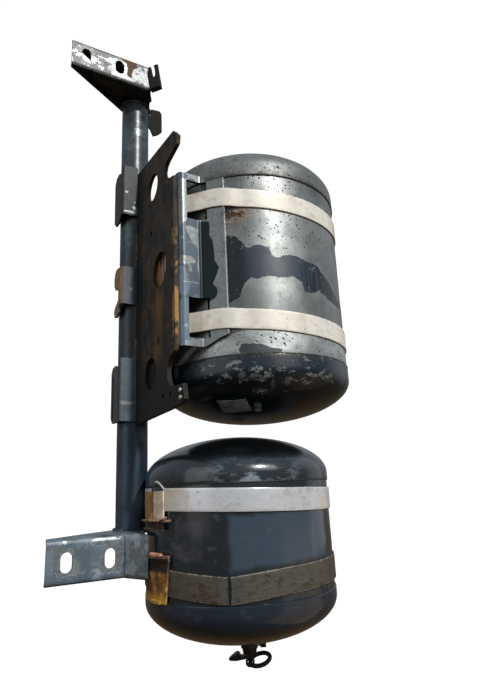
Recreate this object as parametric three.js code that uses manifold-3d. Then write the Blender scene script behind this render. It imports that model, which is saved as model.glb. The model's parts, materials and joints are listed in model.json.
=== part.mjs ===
// Twin compressed-air reservoir set on a tubular carrier.
// Units are millimetres, +Z is up. The design frame puts the carrier tube's axis on X = 0, Y = 0;
// the outer group shifts it so that the origin is on the lower bracket's mounting face,
// midway between its two slots.
import * as THREE from 'three';
import { mergeVertices } from 'three/addons/utils/BufferGeometryUtils.js';
import Module from 'manifold-3d';

const wasm = await Module();
wasm.setup();

// ---------------------------------------------------------------- driving dimensions
const GAP = 0.3;                       // clearance kept between touching pieces
const ORIGIN_SHIFT = [79, 60, 85];     // tube frame to part frame

const TUBE_R = 25, TUBE_WALL = 3, TUBE_Z0 = -54.7, TUBE_Z1 = 725.7;

const UB = { y: -60, t: 5, x0: -134, x1: 10, z0: 726, z1: 782, slotW: 16, slotL: 27, slotX: [-109, -49], slotZ: 755 };
const LB = { y: -60, t: 5, x0: -136, bendX: -33, endX: -13, endY: -108, z0: -116, z1: -55, slotW: 16, slotL: 27, slotX: [-109, -49], slotZ: -87 };

const T1 = { x: 171.2, y: -115.6, r: 150, wall: 3, seamTop: 460, tanTop: 477.6, hTop: 65.4, seamBot: 178, tanBot: 159, hBot: 58.5 };
const T2 = { x: 134.5, y: -104.9, r: 138, wall: 3, seamTop: 8, tanTop: 18.9, hTop: 58.5, seamBot: -139, tanBot: -149.9, hBot: 58.5 };
const DOME_PROUD = 1.6, DOME_WALL = 3.5;

const STRAP_W = 30, STRAP_T = 2;
const RING_SEG = 48;

const PLATE_T = 6;                     // gusset plate
const HOOK_T = 3.5;                    // tube hooks
const HAT = { t: 4.5, webX: 3.3, legY: -199.5, z0: 194, z1: 468, footZ0: 206, footZ1: 457, footHalf: 18, angle: 40 };
const SLOT_HI = [392, 456], SLOT_LO = [207, 267];

// ---------------------------------------------------------------- helpers
const V2 = (x, y) => new THREE.Vector2(x, y);
const rad = THREE.MathUtils.degToRad;

function toSolid(geometry) {
  let g = geometry.index ? geometry.toNonIndexed() : geometry.clone();
  g.deleteAttribute('normal');
  g.deleteAttribute('uv');
  g = mergeVertices(g, 1e-4);
  return new wasm.Manifold(new wasm.Mesh({
    numProp: 3,
    vertProperties: new Float32Array(g.attributes.position.array),
    triVerts: new Uint32Array(g.index.array),
  }));
}
function toGeometry(solid) {
  const m = solid.getMesh();
  const g = new THREE.BufferGeometry();
  g.setAttribute('position', new THREE.BufferAttribute(new Float32Array(m.vertProperties), 3));
  g.setIndex(Array.from(m.triVerts));
  g.computeVertexNormals();
  return g;
}
const cut = (a, ...bs) => toGeometry(bs.reduce((s, b) => s.subtract(toSolid(b)), toSolid(a)));
const join = (a, ...bs) => toGeometry(bs.reduce((s, b) => s.add(toSolid(b)), toSolid(a)));
const common = (a, b) => toGeometry(toSolid(a).intersect(toSolid(b)));

function shapeOf(points, holes = []) {
  const s = new THREE.Shape(points.map(p => V2(p[0], p[1])));
  for (const h of holes) s.holes.push(new THREE.Path(h.map(p => V2(p[0], p[1]))));
  return s;
}
const extrude = (points, depth, holes) =>
  new THREE.ExtrudeGeometry(shapeOf(points, holes), { depth, bevelEnabled: false, curveSegments: 8 });
// outline in X,Y standing on z0
const prismZ = (points, z0, z1, holes) => extrude(points, z1 - z0, holes).translate(0, 0, z0);
// outline in Y,Z from x0 to x1
function prismX(points, x0, x1, holes) {
  const m = new THREE.Matrix4().makeBasis(new THREE.Vector3(0, 1, 0), new THREE.Vector3(0, 0, 1), new THREE.Vector3(1, 0, 0));
  return extrude(points, x1 - x0, holes).applyMatrix4(m).translate(x0, 0, 0);
}
// outline in X,Z from y0 to y1
function prismY(points, y0, y1, holes) {
  const m = new THREE.Matrix4().makeBasis(new THREE.Vector3(1, 0, 0), new THREE.Vector3(0, 0, 1), new THREE.Vector3(0, -1, 0));
  return extrude(points, y1 - y0, holes).applyMatrix4(m).translate(0, y1, 0);
}
const box = (x0, x1, y0, y1, z0, z1) =>
  new THREE.BoxGeometry(x1 - x0, y1 - y0, z1 - z0).translate((x0 + x1) / 2, (y0 + y1) / 2, (z0 + z1) / 2);

function circlePts(cx, cy, r, n = 24, a0 = 0) {
  const out = [];
  for (let i = 0; i < n; i++) { const a = a0 + i / n * 2 * Math.PI; out.push([cx + r * Math.cos(a), cy + r * Math.sin(a)]); }
  return out;
}
function obround(cx, cy, w, l, n = 8) {      // upright slot
  const out = [], r = w / 2, h = (l - w) / 2;
  for (let i = 0; i <= n; i++) { const a = Math.PI * i / n; out.push([cx + r * Math.cos(a), cy + h + r * Math.sin(a)]); }
  for (let i = 0; i <= n; i++) { const a = Math.PI + Math.PI * i / n; out.push([cx + r * Math.cos(a), cy - h + r * Math.sin(a)]); }
  return out;
}
// centre line with rounded bends
function filleted(pts, r, n = 4) {
  const out = [pts[0]];
  for (let i = 1; i < pts.length - 1; i++) {
    const p = V2(...pts[i]), a = V2(...pts[i - 1]).sub(p).normalize(), b = V2(...pts[i + 1]).sub(p).normalize();
    const half = Math.acos(THREE.MathUtils.clamp(a.dot(b), -1, 1)) / 2, d = r / Math.tan(half);
    const t0 = p.clone().addScaledVector(a, d), t1 = p.clone().addScaledVector(b, d);
    const c = p.clone().add(a.clone().add(b).normalize().multiplyScalar(r / Math.sin(half)));
    let a0 = Math.atan2(t0.y - c.y, t0.x - c.x), a1 = Math.atan2(t1.y - c.y, t1.x - c.x), da = a1 - a0;
    while (da > Math.PI) da -= 2 * Math.PI;
    while (da < -Math.PI) da += 2 * Math.PI;
    for (let k = 0; k <= n; k++) out.push([c.x + r * Math.cos(a0 + da * k / n), c.y + r * Math.sin(a0 + da * k / n)]);
  }
  out.push(pts[pts.length - 1]);
  return out;
}
// closed outline of a sheet of thickness t about a centre line
function ribbon(line, t) {
  const L = [], R = [];
  for (let i = 0; i < line.length; i++) {
    const p = V2(...line[i]);
    const d0 = i > 0 ? p.clone().sub(V2(...line[i - 1])).normalize() : null;
    const d1 = i < line.length - 1 ? V2(...line[i + 1]).sub(p).normalize() : null;
    const d = (d0 && d1) ? d0.clone().add(d1).normalize() : (d0 || d1);
    const k = (d0 && d1) ? 1 / Math.max(0.5, d.dot(d0)) : 1;
    const n = V2(-d.y, d.x).multiplyScalar(t / 2 * k);
    L.push([p.x + n.x, p.y + n.y]); R.push([p.x - n.x, p.y - n.y]);
  }
  return L.concat(R.reverse());
}
const lathe = (profile, seg = RING_SEG) =>
  new THREE.LatheGeometry(profile.map(p => V2(p[0], p[1])), seg).rotateX(Math.PI / 2);
// closed profile (r, z) turned about +Z
function turned(profile, x, y, seg = RING_SEG) {
  const closed = profile.concat([profile[0]]);
  let g = lathe(closed, seg).translate(x, y, 0);
  return g;
}

const root = new THREE.Group();
const frameGroup = new THREE.Group();
frameGroup.position.set(...ORIGIN_SHIFT);
root.add(frameGroup);

function fixWinding(g) {
  g = g.index ? g.toNonIndexed() : g;
  const p = g.attributes.position; let v = 0;
  const a = new THREE.Vector3(), b = new THREE.Vector3(), c = new THREE.Vector3();
  for (let i = 0; i < p.count; i += 3) {
    a.fromBufferAttribute(p, i); b.fromBufferAttribute(p, i + 1); c.fromBufferAttribute(p, i + 2);
    v += a.dot(b.cross(c));
  }
  if (v < 0) {
    for (let i = 0; i < p.count; i += 3) {
      a.fromBufferAttribute(p, i + 1); b.fromBufferAttribute(p, i + 2);
      p.setXYZ(i + 1, b.x, b.y, b.z); p.setXYZ(i + 2, a.x, a.y, a.z);
    }
  }
  g.deleteAttribute('normal'); g.deleteAttribute('uv');
  g = mergeVertices(g, 1e-4); g.computeVertexNormals();
  return g;
}
function part(name, geometry, color, roughness, metalness) {
  const mesh = new THREE.Mesh(fixWinding(geometry), new THREE.MeshStandardMaterial({ color, roughness, metalness }));
  mesh.name = name;
  frameGroup.add(mesh);
  return mesh;
}

// ---------------------------------------------------------------- carrier tube
part('support_tube', turned([[TUBE_R, TUBE_Z0], [TUBE_R, TUBE_Z1], [TUBE_R - TUBE_WALL, TUBE_Z1], [TUBE_R - TUBE_WALL, TUBE_Z0]], 0, 0, 32), 0x5d6f80, 0.45, 0.6);

// ---------------------------------------------------------------- upper end bracket
{
  // channel section: both flanges taper away towards the free end
  const sec = ribbon(filleted([[34, UB.z1 - UB.t / 2], [UB.y + UB.t / 2, UB.z1 - UB.t / 2], [UB.y + UB.t / 2, UB.z0 + UB.t / 2], [34, UB.z0 + UB.t / 2]], 6), UB.t);
  const bent = prismX(sec, UB.x0, 32);
  const plan = prismZ([[UB.x0, -61], [UB.x1, -61], [UB.x1 + 3, -50], [21, -34], [18.5, -30], [23.5, -14], [26, 5], [26, 28], [-5, 28], [UB.x0, -52]], 700, 800);
  let g = common(bent, plan);
  for (const x of UB.slotX) g = cut(g, prismY(obround(x, UB.slotZ, UB.slotW, UB.slotL), -70, -50));
  part('upper_end_bracket', g, 0xa7adb2, 0.5, 0.7);
}
// forked ear standing forward of the face plate, leaning outward at its foot
{
  const L = 22, t = 4, z0 = 721.5, z1 = 772.5;
  let g = box(0, L, 0, t, z0, z1);
  g = cut(g, prismY([[8, 753], [9.5, 750], [12, 750], [13.5, 753], [14.5, 763], [12.5, 780], [6.2, 780], [7.4, 768]], -10, 10));
  g = cut(g, prismY([[-1, 760], [3.5, 780], [-1, 780]], -10, 10));
  g = join(g, box(0, L, -7, t, z0, z0 + 3.5));
  g.rotateZ(Math.atan2(-17.3, 13.4));
  const lean = new THREE.Matrix4().set(1, 0, -0.157, 0.157 * z1, 0, 1, 0, 0, 0, 0, 1, 0, 0, 0, 0, 1);
  g.applyMatrix4(lean).translate(1.6, -63.4, 0);
  part('upper_bracket_fork', g, 0x2a2420, 0.7, 0.3);
}
// small tab welded to the tube under the upper bracket
part('tube_clip_tab', common(box(TUBE_R + GAP, 54, -2, 2, 677, 742),
  prismY([[20, 722], [30, 722], [30, 736], [34, 738], [48, 739.5], [53, 736], [54, 730], [54, 692], [47, 684], [36, 677], [29, 692], [20, 700]], -4, 4)), 0x232629, 0.6, 0.4);

// ---------------------------------------------------------------- lower end bracket
{
  const keep = [];                       // stays clear of the lower tank and its straps
  const RC = T2.r + 7.5;
  for (let a = 202; a >= 134; a -= 4) keep.push([T2.x + RC * Math.cos(rad(a)), T2.y + RC * Math.sin(rad(a))]);
  const t = LB.t;
  const ux = LB.endX - LB.bendX, uy = LB.endY - LB.y, ul = Math.hypot(ux, uy), ang = Math.atan2(uy, ux);
  const cSec = ribbon(filleted([[60, LB.z1 - t / 2], [t / 2, LB.z1 - t / 2], [t / 2, LB.z0 + t / 2], [20, LB.z0 + t / 2]], 5.5), t);
  const straight = prismX(cSec.map(p => [p[0] + LB.y, p[1]]), LB.x0, 80);
  let wing = prismX(cSec, -60, ul + 3).rotateZ(ang).translate(LB.bendX, LB.y, 0);
  // mitre plane through the bend, halfway between the two directions
  const bis = ang / 2 + Math.PI / 2;
  const mx = Math.cos(bis) * 300, my = Math.sin(bis) * 300;
  const leftHalf = prismZ([[LB.bendX + mx + 0.08, LB.y + my], [-400, LB.y + my], [-400, LB.y - my], [LB.bendX - mx + 0.08, LB.y - my]], -200, 0);
  const rightHalf = prismZ([[LB.bendX - mx, LB.y - my], [400, LB.y - my], [400, LB.y + my], [LB.bendX + mx, LB.y + my]], -200, 0);
  let g = join(common(straight, leftHalf), common(wing, rightHalf));
  g = join(g, prismZ([[-60, -50], [-33, -52], [-20, -80], [38, -60], [38, 10], [26, 29], [-24, 29], [-60, 8]], LB.z1 - t + 0.04, LB.z1 - 0.04));
  const outline = prismZ([[LB.x0, -61], [-30, -61], [-30, -125], [0, -125], ...keep.filter(p => p[1] > -122), [30, 29], [-24, 29], [-60, 4], [LB.x0, -52.5]], -200, 0);
  g = common(g, outline);
  for (const x of LB.slotX) g = cut(g, prismY(obround(x, LB.slotZ, LB.slotW, LB.slotL), -70, -50));
  part('lower_end_bracket', g, 0x6f8290, 0.5, 0.6);
}

// ---------------------------------------------------------------- gusset plate
{
  const notch = [];
  for (let i = 0; i <= 8; i++) { const a = rad(78 - i * 19.5); notch.push([-186 + 25 * Math.cos(a) - 4, 162 + 25 * Math.sin(a)]); }
  const outline = [[-TUBE_R - GAP, 106], [-TUBE_R - GAP, 564], [-66.6, 557.5], [-197, 538], [-213, 520], [-210, 507],
    [-186, 503], [-170, 500], [-162, 496], [-158, 487.5], [-161, 478], [-170.5, 471], [-183, 464], [-195, 461],
    [-196, 200], [-192, 188], ...notch.slice(1, -1), [-192, 138], [-220, 136], [-224, 115], [-215, 111.5], [-185, 109], [-85, 107]];
  const holes = [
    circlePts(-105, 491, 23.5), circlePts(-135, 331, 28), circlePts(-95, 175, 25),
    obround(-131, 218, 6, 12, 4),
    circlePts(-98, 410, 4.5, 12), circlePts(-136, 542, 3.5, 12), circlePts(-167, 534, 3, 12), circlePts(-197, 527, 3, 12),
    circlePts(-148, 132, 4, 12), circlePts(-175, 130, 4, 12),
    circlePts(-213, 128.5, 3.4, 12), circlePts(-213, 118.5, 3.4, 12),
  ];
  part('gusset_plate', prismX(outline, -PLATE_T / 2, PLATE_T / 2, holes), 0x5a4431, 0.85, 0.3);
  const stud = z => new THREE.CylinderGeometry(3, 3, 11, 12).rotateZ(Math.PI / 2).translate(0, -213, z);
  part('plate_stud_upper', stud(128.5), 0xc8c2b4, 0.35, 0.9);
  part('plate_stud_lower', stud(118.5), 0xc8c2b4, 0.35, 0.9);
}

// ---------------------------------------------------------------- hooks round the tube
function tubeHook(name, z0, z1, flankOutline, color, flankSlot) {
  const yC = -29.5 + HOOK_T / 2, xC = -32 + HOOK_T / 2;
  const line = filleted([[-PLATE_T / 2 - GAP, yC], [xC, yC], [xC, 17]], 4);
  let g = prismZ(ribbon(line, HOOK_T), z0, z1);
  g = common(g, prismX(flankOutline, -60, 20));
  if (flankSlot) g = cut(g, prismX(flankSlot, -40, -27));
  part(name, g, color, 0.55, 0.55);
}
tubeHook('tube_hook_upper', 467, 575, [[-35, 477], [-22, 477], [-17, 471], [-8, 467], [8, 468], [17, 478], [17, 556], [9, 567], [-6, 568], [-21, 562], [-23, 575], [-35, 575]], 0x5b6b7a);
tubeHook('tube_hook_middle', 290, 380, [[-35, 309], [-20, 309], [-17, 296], [-6, 290], [6, 293], [9, 304], [3, 312], [-14, 319], [-14, 336], [3, 343], [10, 352], [11, 368], [4, 378], [-6, 380], [-19, 377], [-35, 377]], 0x8a7a4a);
tubeHook('tube_hook_lower', 110, 215, [[-35, 111], [-21, 111], [-16, 110], [8, 111], [17, 119], [17, 196], [10, 205], [-6, 206], [-20, 198], [-22, 215], [-35, 215]], 0x66767f, obround(7, 152.5, 8, 75, 4));

// ---------------------------------------------------------------- hat-section saddle for the upper tank
const A1 = rad(180 + HAT.angle);                             // near contact, seen from the tank's axis
const near = { d: [Math.cos(A1), Math.sin(A1)], t: [-Math.sin(A1), Math.cos(A1)] };
const mirrorY = p => [p[0], 2 * T1.y - p[1]];
{
  const rc = T1.r + DOME_PROUD + GAP + HAT.t / 2 - 1.6;
  const c = [T1.x + near.d[0] * rc, T1.y + near.d[1] * rc];
  const yl = HAT.legY + HAT.t / 2;
  const k = (yl - c[1]) / near.t[1];
  const bendP = [c[0] + near.t[0] * k, yl];
  const end = [c[0] + near.t[0] * HAT.footHalf, c[1] + near.t[1] * HAT.footHalf];
  const xw = HAT.webX + HAT.t / 2;
  const line = filleted([end, bendP, [xw, yl], mirrorY([xw, yl]), mirrorY(bendP), mirrorY(end)], 7);
  let g = prismZ(ribbon(line, HAT.t), HAT.z0, HAT.z1);
  g = common(g, prismY([[-5, HAT.z0], [40, HAT.z0], [46, HAT.z0 + 4], [56, HAT.footZ0 - 1], [80, HAT.footZ0 + 10], [80, HAT.footZ1 - 4], [76, HAT.footZ1], [46, HAT.footZ1], [42, HAT.z1], [-5, HAT.z1]], -300, 100));
  for (const [a, b] of [SLOT_HI, SLOT_LO]) g = cut(g, box(17, 46, -230, 20, a, b));
  part('saddle_bracket', g, 0x66808f, 0.45, 0.5);
}

// ---------------------------------------------------------------- tanks
function tank(prefix, T, color, bore) {
  const seamGap = GAP / 2;
  part(prefix + '_shell', turned([[T.r, T.seamBot + seamGap], [T.r, T.seamTop - seamGap], [T.r - T.wall, T.seamTop - seamGap], [T.r - T.wall, T.seamBot + seamGap]], T.x, T.y), color, 0.4, 0.5);
  const ro = T.r + DOME_PROUD, n = 7, m = 4;
  const dome = (zs, zt, h, s, top) => {
    const out = [[ro, zs + s * seamGap], [ro, zt]];
    for (let i = 1; i < n; i++) { const a = Math.PI / 2 * i / n; out.push([ro * Math.cos(a), zt + s * h * Math.sin(a)]); }
    out.push([0, zt + s * h]);
    const ri = ro - DOME_WALL, hi = h - DOME_WALL;
    const inn = [[0, zt + s * hi]];
    for (let i = m - 1; i >= 1; i--) { const a = Math.PI / 2 * i / m; inn.push([ri * Math.cos(a) * 0.985, zt + s * hi * Math.sin(a) * 0.975]); }
    inn.push([ri, zt], [ri, zs + s * seamGap]);
    const pts = out.concat(inn);
    pts.push(pts[0]);
    return fixWinding(lathe(pts).translate(T.x, T.y, 0));
  };
  let top = dome(T.seamTop, T.tanTop, T.hTop, 1), bot = dome(T.seamBot, T.tanBot, T.hBot, -1);
  for (const b of bore.top) top = cut(top, prismZ(circlePts(b[0], b[1], b[2] + GAP, 16), T.tanTop + 10, T.tanTop + T.hTop + 20));
  for (const b of bore.bot) bot = cut(bot, prismZ(circlePts(b[0], b[1], b[2] + GAP, 16), T.tanBot - T.hBot - 20, T.tanBot - 10));
  part(prefix + '_top_dome', top, color, 0.35, 0.5);
  part(prefix + '_bottom_dome', bot, color, 0.35, 0.5);
}
const P1T = [T1.x, T1.y, 13], P1B = [120.4, -201.2, 7], P2T = [169.5, -44.3, 13], P2D = [142, -109, 10];
tank('tank1', T1, 0x59666d, { top: [P1T], bot: [P1B] });
tank('tank2', T2, 0x35424d, { top: [P2T], bot: [P2D] });

// weld-in threaded bosses, open through, and their plugs
function boss(name, x, y, zIn, zFace, r, bore, s) {           // s = +1 faces up, -1 faces down
  part(name, turned([[bore, zIn], [r, zIn], [r, zFace], [bore, zFace]], x, y, 16), 0x3b4650, 0.5, 0.6);
}
function plug(name, x, y, zFace, bore, s) {
  const shank = new THREE.CylinderGeometry(bore - GAP - 0.2, bore - GAP - 0.2, 9, 16).rotateX(Math.PI / 2).translate(x, y, zFace - s * 4);
  const head = new THREE.CylinderGeometry(bore + 2, bore + 2, 5, 6).rotateX(Math.PI / 2).translate(x, y, zFace + s * (2.5 + GAP));
  part(name, join(shank, head), 0x8c8f8e, 0.4, 0.8);
}
boss('tank1_top_port_boss', P1T[0], P1T[1], 528, 544.5, P1T[2], 8, 1);
plug('tank1_top_port_plug', P1T[0], P1T[1], 544.5, 8, 1);
boss('tank2_top_port_boss', P2T[0], P2T[1], 57, 74.5, P2T[2], 8, 1);
plug('tank2_top_port_plug', P2T[0], P2T[1], 74.5, 8, 1);
boss('tank1_bottom_port_boss', P1B[0], P1B[1], 111.3, 127, P1B[2], 4, -1);
plug('tank1_bottom_port_plug', P1B[0], P1B[1], 111.3, 4, -1);

// blank data plate, curved to the upper tank's bottom dome
{
  const ro = T1.r + DOME_PROUD, c = [94.3, -181], rx = c[0] - T1.x, ry = c[1] - T1.y;
  const zs = T1.tanBot - T1.hBot * Math.sqrt(1 - (rx * rx + ry * ry) / (ro * ro));
  const nrm = new THREE.Vector3(rx / (ro * ro), ry / (ro * ro), (zs - T1.tanBot) / (T1.hBot * T1.hBot)).normalize();
  const along = new THREE.Vector3(0.705, -0.709, 0).addScaledVector(nrm, -nrm.dot(new THREE.Vector3(0.705, -0.709, 0))).normalize();
  const up = new THREE.Vector3().crossVectors(nrm, along).normalize();
  const block = new THREE.BoxGeometry(44, 36, 16).applyMatrix4(new THREE.Matrix4().makeBasis(along, up, nrm)).translate(c[0], c[1], zs);
  const skin = k => new THREE.SphereGeometry(1, 64, 40).rotateX(Math.PI / 2).scale(ro + k, ro + k, T1.hBot + k).translate(T1.x, T1.y, T1.tanBot);
  part('tank1_data_plate', toGeometry(toSolid(block).intersect(toSolid(fixWinding(skin(1.7)))).subtract(toSolid(fixWinding(skin(0.6))))), 0xb9bec2, 0.4, 0.8);
}

// ---------------------------------------------------------------- straps of the upper tank
// lean(x, y): how far a strap stands above its height at the tank's axis
function lean1(x, y, s, d, farLift) {
  const r = 0.866 * (x - T1.x) - 0.5 * (y - T1.y), q = 0.5 * (x - T1.x) + 0.866 * (y - T1.y);
  let phi = Math.atan2(q, r);                                  // 0 at the low side, growing round the back
  if (phi < -2.6) phi += 2 * Math.PI;
  if (phi <= 0) return -s * r + d * q;
  const phiFar = 2.93;
  return -s * T1.r + (farLift + s * T1.r) * Math.min(1, phi / phiFar);
}
function saddleStrap(name, zTop, s, d, farLift) {
  const rc = T1.r + GAP + STRAP_T / 2 + 0.1;
  const off = T1.r + GAP + HAT.t + GAP + STRAP_T / 2 + 0.35;   // where it lies over a foot
  const foot = k => [T1.x + near.d[0] * off + near.t[0] * k, T1.y + near.d[1] * off + near.t[1] * k];
  const line = [[10, -182], [22.2, -182], foot(-30), foot(0), foot(19)];
  const a0 = 180 + HAT.angle + 15, a1 = 540 - HAT.angle - 15;
  for (let a = Math.ceil(a0 / 7.5) * 7.5; a <= a1; a += 7.5) line.push([T1.x + rc * Math.cos(rad(a)), T1.y + rc * Math.sin(rad(a))]);
  const far = line.slice(0, 5).map(mirrorY).reverse();
  const all = line.concat(far);
  const g = prismZ(ribbon(all, STRAP_T), zTop - STRAP_W, zTop);
  const p = g.attributes.position;
  const yN = foot(0)[1], yF = mirrorY(foot(0))[1];
  for (let i = 0; i < p.count; i++) {
    let x = p.getX(i), y = p.getY(i), dz;
    if (x < foot(0)[0] + 1 && y < T1.y) dz = lean1(...foot(0), s, d, farLift);
    else if (x < foot(0)[0] + 1) dz = farLift;
    else dz = Math.abs(y - T1.y) < 200 ? lean1(x, y, s, d, farLift) : 0;
    p.setZ(i, p.getZ(i) + dz);
  }
  return g;
}
const rodHoles = z => prismY(circlePts(14.8, z, 4.6, 12), -190, -41);
part('tank1_strap_upper', cut(saddleStrap('u', 446.8, 0.100, 0.086, 8), rodHoles(431.5)), 0xb8b6ae, 0.35, 0.9);
part('tank1_strap_lower', cut(saddleStrap('l', 246.6, 0.070, 0.020, 10.5), rodHoles(237)), 0xb8b6ae, 0.35, 0.9);
{
  const rod = z => new THREE.CylinderGeometry(4, 4, 152, 12).translate(14.8, T1.y, z);
  part('tension_rod_upper', rod(431.5), 0x777b80, 0.5, 0.8);
  part('tension_rod_lower', rod(237), 0x777b80, 0.5, 0.8);
  const nut = (y, z) => cut(new THREE.CylinderGeometry(7.4, 7.4, 6.5, 6).translate(14.8, y, z), new THREE.CylinderGeometry(4.4, 4.4, 20, 12).translate(14.8, y, z));
  const yN = -183 - GAP - 3.9, yF = 2 * T1.y - yN;
  for (const [n, y, z] of [['upper_near', yN, 431.5], ['upper_far', yF, 431.5], ['lower_near', yN, 237], ['lower_far', yF, 237]])
    part('tension_nut_' + n, nut(y, z), 0x7b7f84, 0.5, 0.8);
}

// ---------------------------------------------------------------- straps of the lower tank
const A2 = { front: 201, back: 176 };                           // clip ends, degrees about the tank's axis
function band2(a0, a1, step, zTop, leanFn, width = STRAP_W) {
  const rc = T2.r + GAP + STRAP_T / 2 + 0.1;
  const line = [];
  const push = a => line.push([T2.x + rc * Math.cos(rad(a)), T2.y + rc * Math.sin(rad(a))]);
  push(a0);
  for (let a = Math.ceil((a0 + 1) / step) * step; a < a1 - 1; a += step) push(a);
  push(a1);
  const g = prismZ(ribbon(line, STRAP_T), zTop - width, zTop);
  const p = g.attributes.position;
  for (let i = 0; i < p.count; i++) p.setZ(i, p.getZ(i) + leanFn(p.getX(i) - T2.x, p.getY(i) - T2.y));
  return g;
}
const RIGHT2 = (x, y) => 0.866 * x - 0.5 * y;                  // along the set's front view, left to right
// the shell is a 48-sided prism, so each band keeps the same corner angles
part('tank2_strap_upper', band2(195, 195 + 345, 7.5, 1.3, (x, y) => -0.036 * RIGHT2(x, y)), 0xc9ccce, 0.3, 0.95);
// the lower band is in two lengths that meet in an open, ragged joint at the front
const JOINT_A = 235.2;                                         // degrees; right of it the band climbs, left of it too
const jx = RIGHT2(T2.r * Math.cos(rad(JOINT_A)), T2.r * Math.sin(rad(JOINT_A)));
const droop = (x, y) => { const r = RIGHT2(x, y) - jx; return r > 0 ? Math.min(0.1 * r, 4.5 + 0.035 * r) : -0.09 * r; };
part('tank2_strap_lower_left', band2(195, JOINT_A - 0.35, 7.5, -106, droop, 32), 0x8a867c, 0.6, 0.7);
part('tank2_strap_lower_right', band2(JOINT_A + 0.35, 540, 7.5, -106, droop, 32), 0x8a867c, 0.6, 0.7);

// strap-end clips: a curved web over the strap ends, with turned-out flanges
function sector(r0, r1, a0, a1, z0, z1) {
  const n = Math.max(2, Math.round((a1 - a0) / 7.5)), o = [], i = [];
  for (let k = 0; k <= n; k++) {
    const a = rad(a0 + (a1 - a0) * k / n);
    o.push([T2.x + r1 * Math.cos(a), T2.y + r1 * Math.sin(a)]); i.push([T2.x + r0 * Math.cos(a), T2.y + r0 * Math.sin(a)]);
  }
  return prismZ(o.concat(i.reverse()), z0, z1);
}
{
  const rw = T2.r + GAP + STRAP_T + 0.9;                        // inside of the web
  let up = sector(rw, rw + 2.5, 174, 196.5, -50, 1.5);
  up = join(up, sector(rw, rw + 9, 176, 202, -38.5, -36), sector(rw, rw + 5, 174, 188, -50, -47.5));
  part('tank2_clip_upper', up, 0xa8743c, 0.8, 0.4);
  let lo = sector(rw, rw + 2.5, 178, 201, -140, -81);
  lo = join(lo, sector(rw, rw + 11, 185, 201, -83.5, -81), sector(rw, rw + 6, 186, 197.5, -140, -136.5));
  // its free edge runs back a little towards the foot
  const q = lo.attributes.position;
  for (let i = 0; i < q.count; i++) {
    const x = q.getX(i) - T2.x, y = q.getY(i) - T2.y, r = Math.hypot(x, y), a = Math.atan2(y, x) / Math.PI * 180 + 360;
    const k = rad(a - 3 * Math.min(1, Math.max(0, (a - 188) / 9)) * Math.max(0, (-81 - q.getZ(i)) / 59));
    q.setX(i, T2.x + r * Math.cos(k)); q.setY(i, T2.y + r * Math.sin(k));
  }
  part('tank2_clip_lower', lo, 0xb07a35, 0.8, 0.4);
}
// seat between the tube and the lower tank's upper strap
{
  const a = Math.atan2(T2.y, T2.x), g0 = new THREE.BoxGeometry(60, 16, 46).translate(50, 2, -17).rotateZ(a);
  const far = prismZ(circlePts(T2.x, T2.y, T2.r + GAP + STRAP_T + 0.9, RING_SEG), -60, 30);
  const tubeCut = prismZ(circlePts(0, 0, TUBE_R + GAP + 0.1, 32), -60, 30);
  part('tank2_seat', cut(g0, far, tubeCut), 0x2b2e31, 0.6, 0.4);
}

// ---------------------------------------------------------------- drain valve under the lower tank
const DV = { x: P2D[0], y: P2D[1] };
const uR = new THREE.Vector3(0.866, -0.5, 0), vD = new THREE.Vector3(0.5, 0.866, 0);
part('drain_boss', turned([[8, -200], [10, -200], [10, -208.8], [15, -208.8], [15, -213.5], [8, -213.5]], DV.x, DV.y, 20), 0x3b4650, 0.5, 0.6);
{
  // hexagonal body with a waisted neck: chamber above the seat, wide mouth below it
  const hex = new THREE.CylinderGeometry(14, 14, 7, 6).rotateX(Math.PI / 2).rotateZ(Math.PI / 6).translate(DV.x, DV.y, -217.3);   // one flat faces uR
  const neckUp = turned([[0, -205], [7.6, -205], [7.6, -214], [0, -214]], DV.x, DV.y, 20);
  const neckDn = turned([[0, -220], [11.5, -220], [9.5, -229], [0, -229]], DV.x, DV.y, 20);
  let g = join(hex, fixWinding(neckUp), fixWinding(neckDn));
  const bore = turned([[0, -200], [5.6, -200], [5.6, -214.2], [2.9, -214.2], [2.9, -216.2], [6.0, -216.2], [6.4, -235], [0, -235]], DV.x, DV.y, 20);
  part('drain_valve_body', cut(g, fixWinding(bore)), 0x1f2224, 0.5, 0.5);
}
{
  // shank seated on the hexagon's flat (12.12 mm out), then a small hexagon head that the ring clears at every limit
  const along = (r, n, a0, a1) => new THREE.CylinderGeometry(r, r, a1 - a0, n).rotateZ(Math.PI / 2).rotateZ(Math.atan2(-0.5, 0.866))
    .translate(DV.x + uR.x * (a0 + a1) / 2, DV.y + uR.y * (a0 + a1) / 2, -217.3);
  part('drain_side_plug', join(along(3.4, 12, 12.43, 16.5), along(5.5, 6, 15.9, 24)), 0x26292b, 0.6, 0.5);
}
{
  // coil spring over the valve head
  const pts = [], turns = 2.5;
  for (let i = 0; i <= turns * 12; i++) { const a = i / 12 * 2 * Math.PI; pts.push(new THREE.Vector3(DV.x + 4 * Math.cos(a), DV.y + 4 * Math.sin(a), -208.6 + i / (turns * 12) * 3.4)); }
  const sec = new THREE.Shape(circlePts(0, 0, 0.45, 6).map(p => V2(...p)));
  part('drain_spring', new THREE.ExtrudeGeometry(sec, { steps: 36, bevelEnabled: false, extrudePath: new THREE.CatmullRomCurve3(pts) }), 0x9aa0a4, 0.35, 0.9);
}
const RING_AX = vD.clone().multiplyScalar(Math.cos(rad(15))).add(new THREE.Vector3(0, 0, Math.sin(rad(15))));
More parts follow.
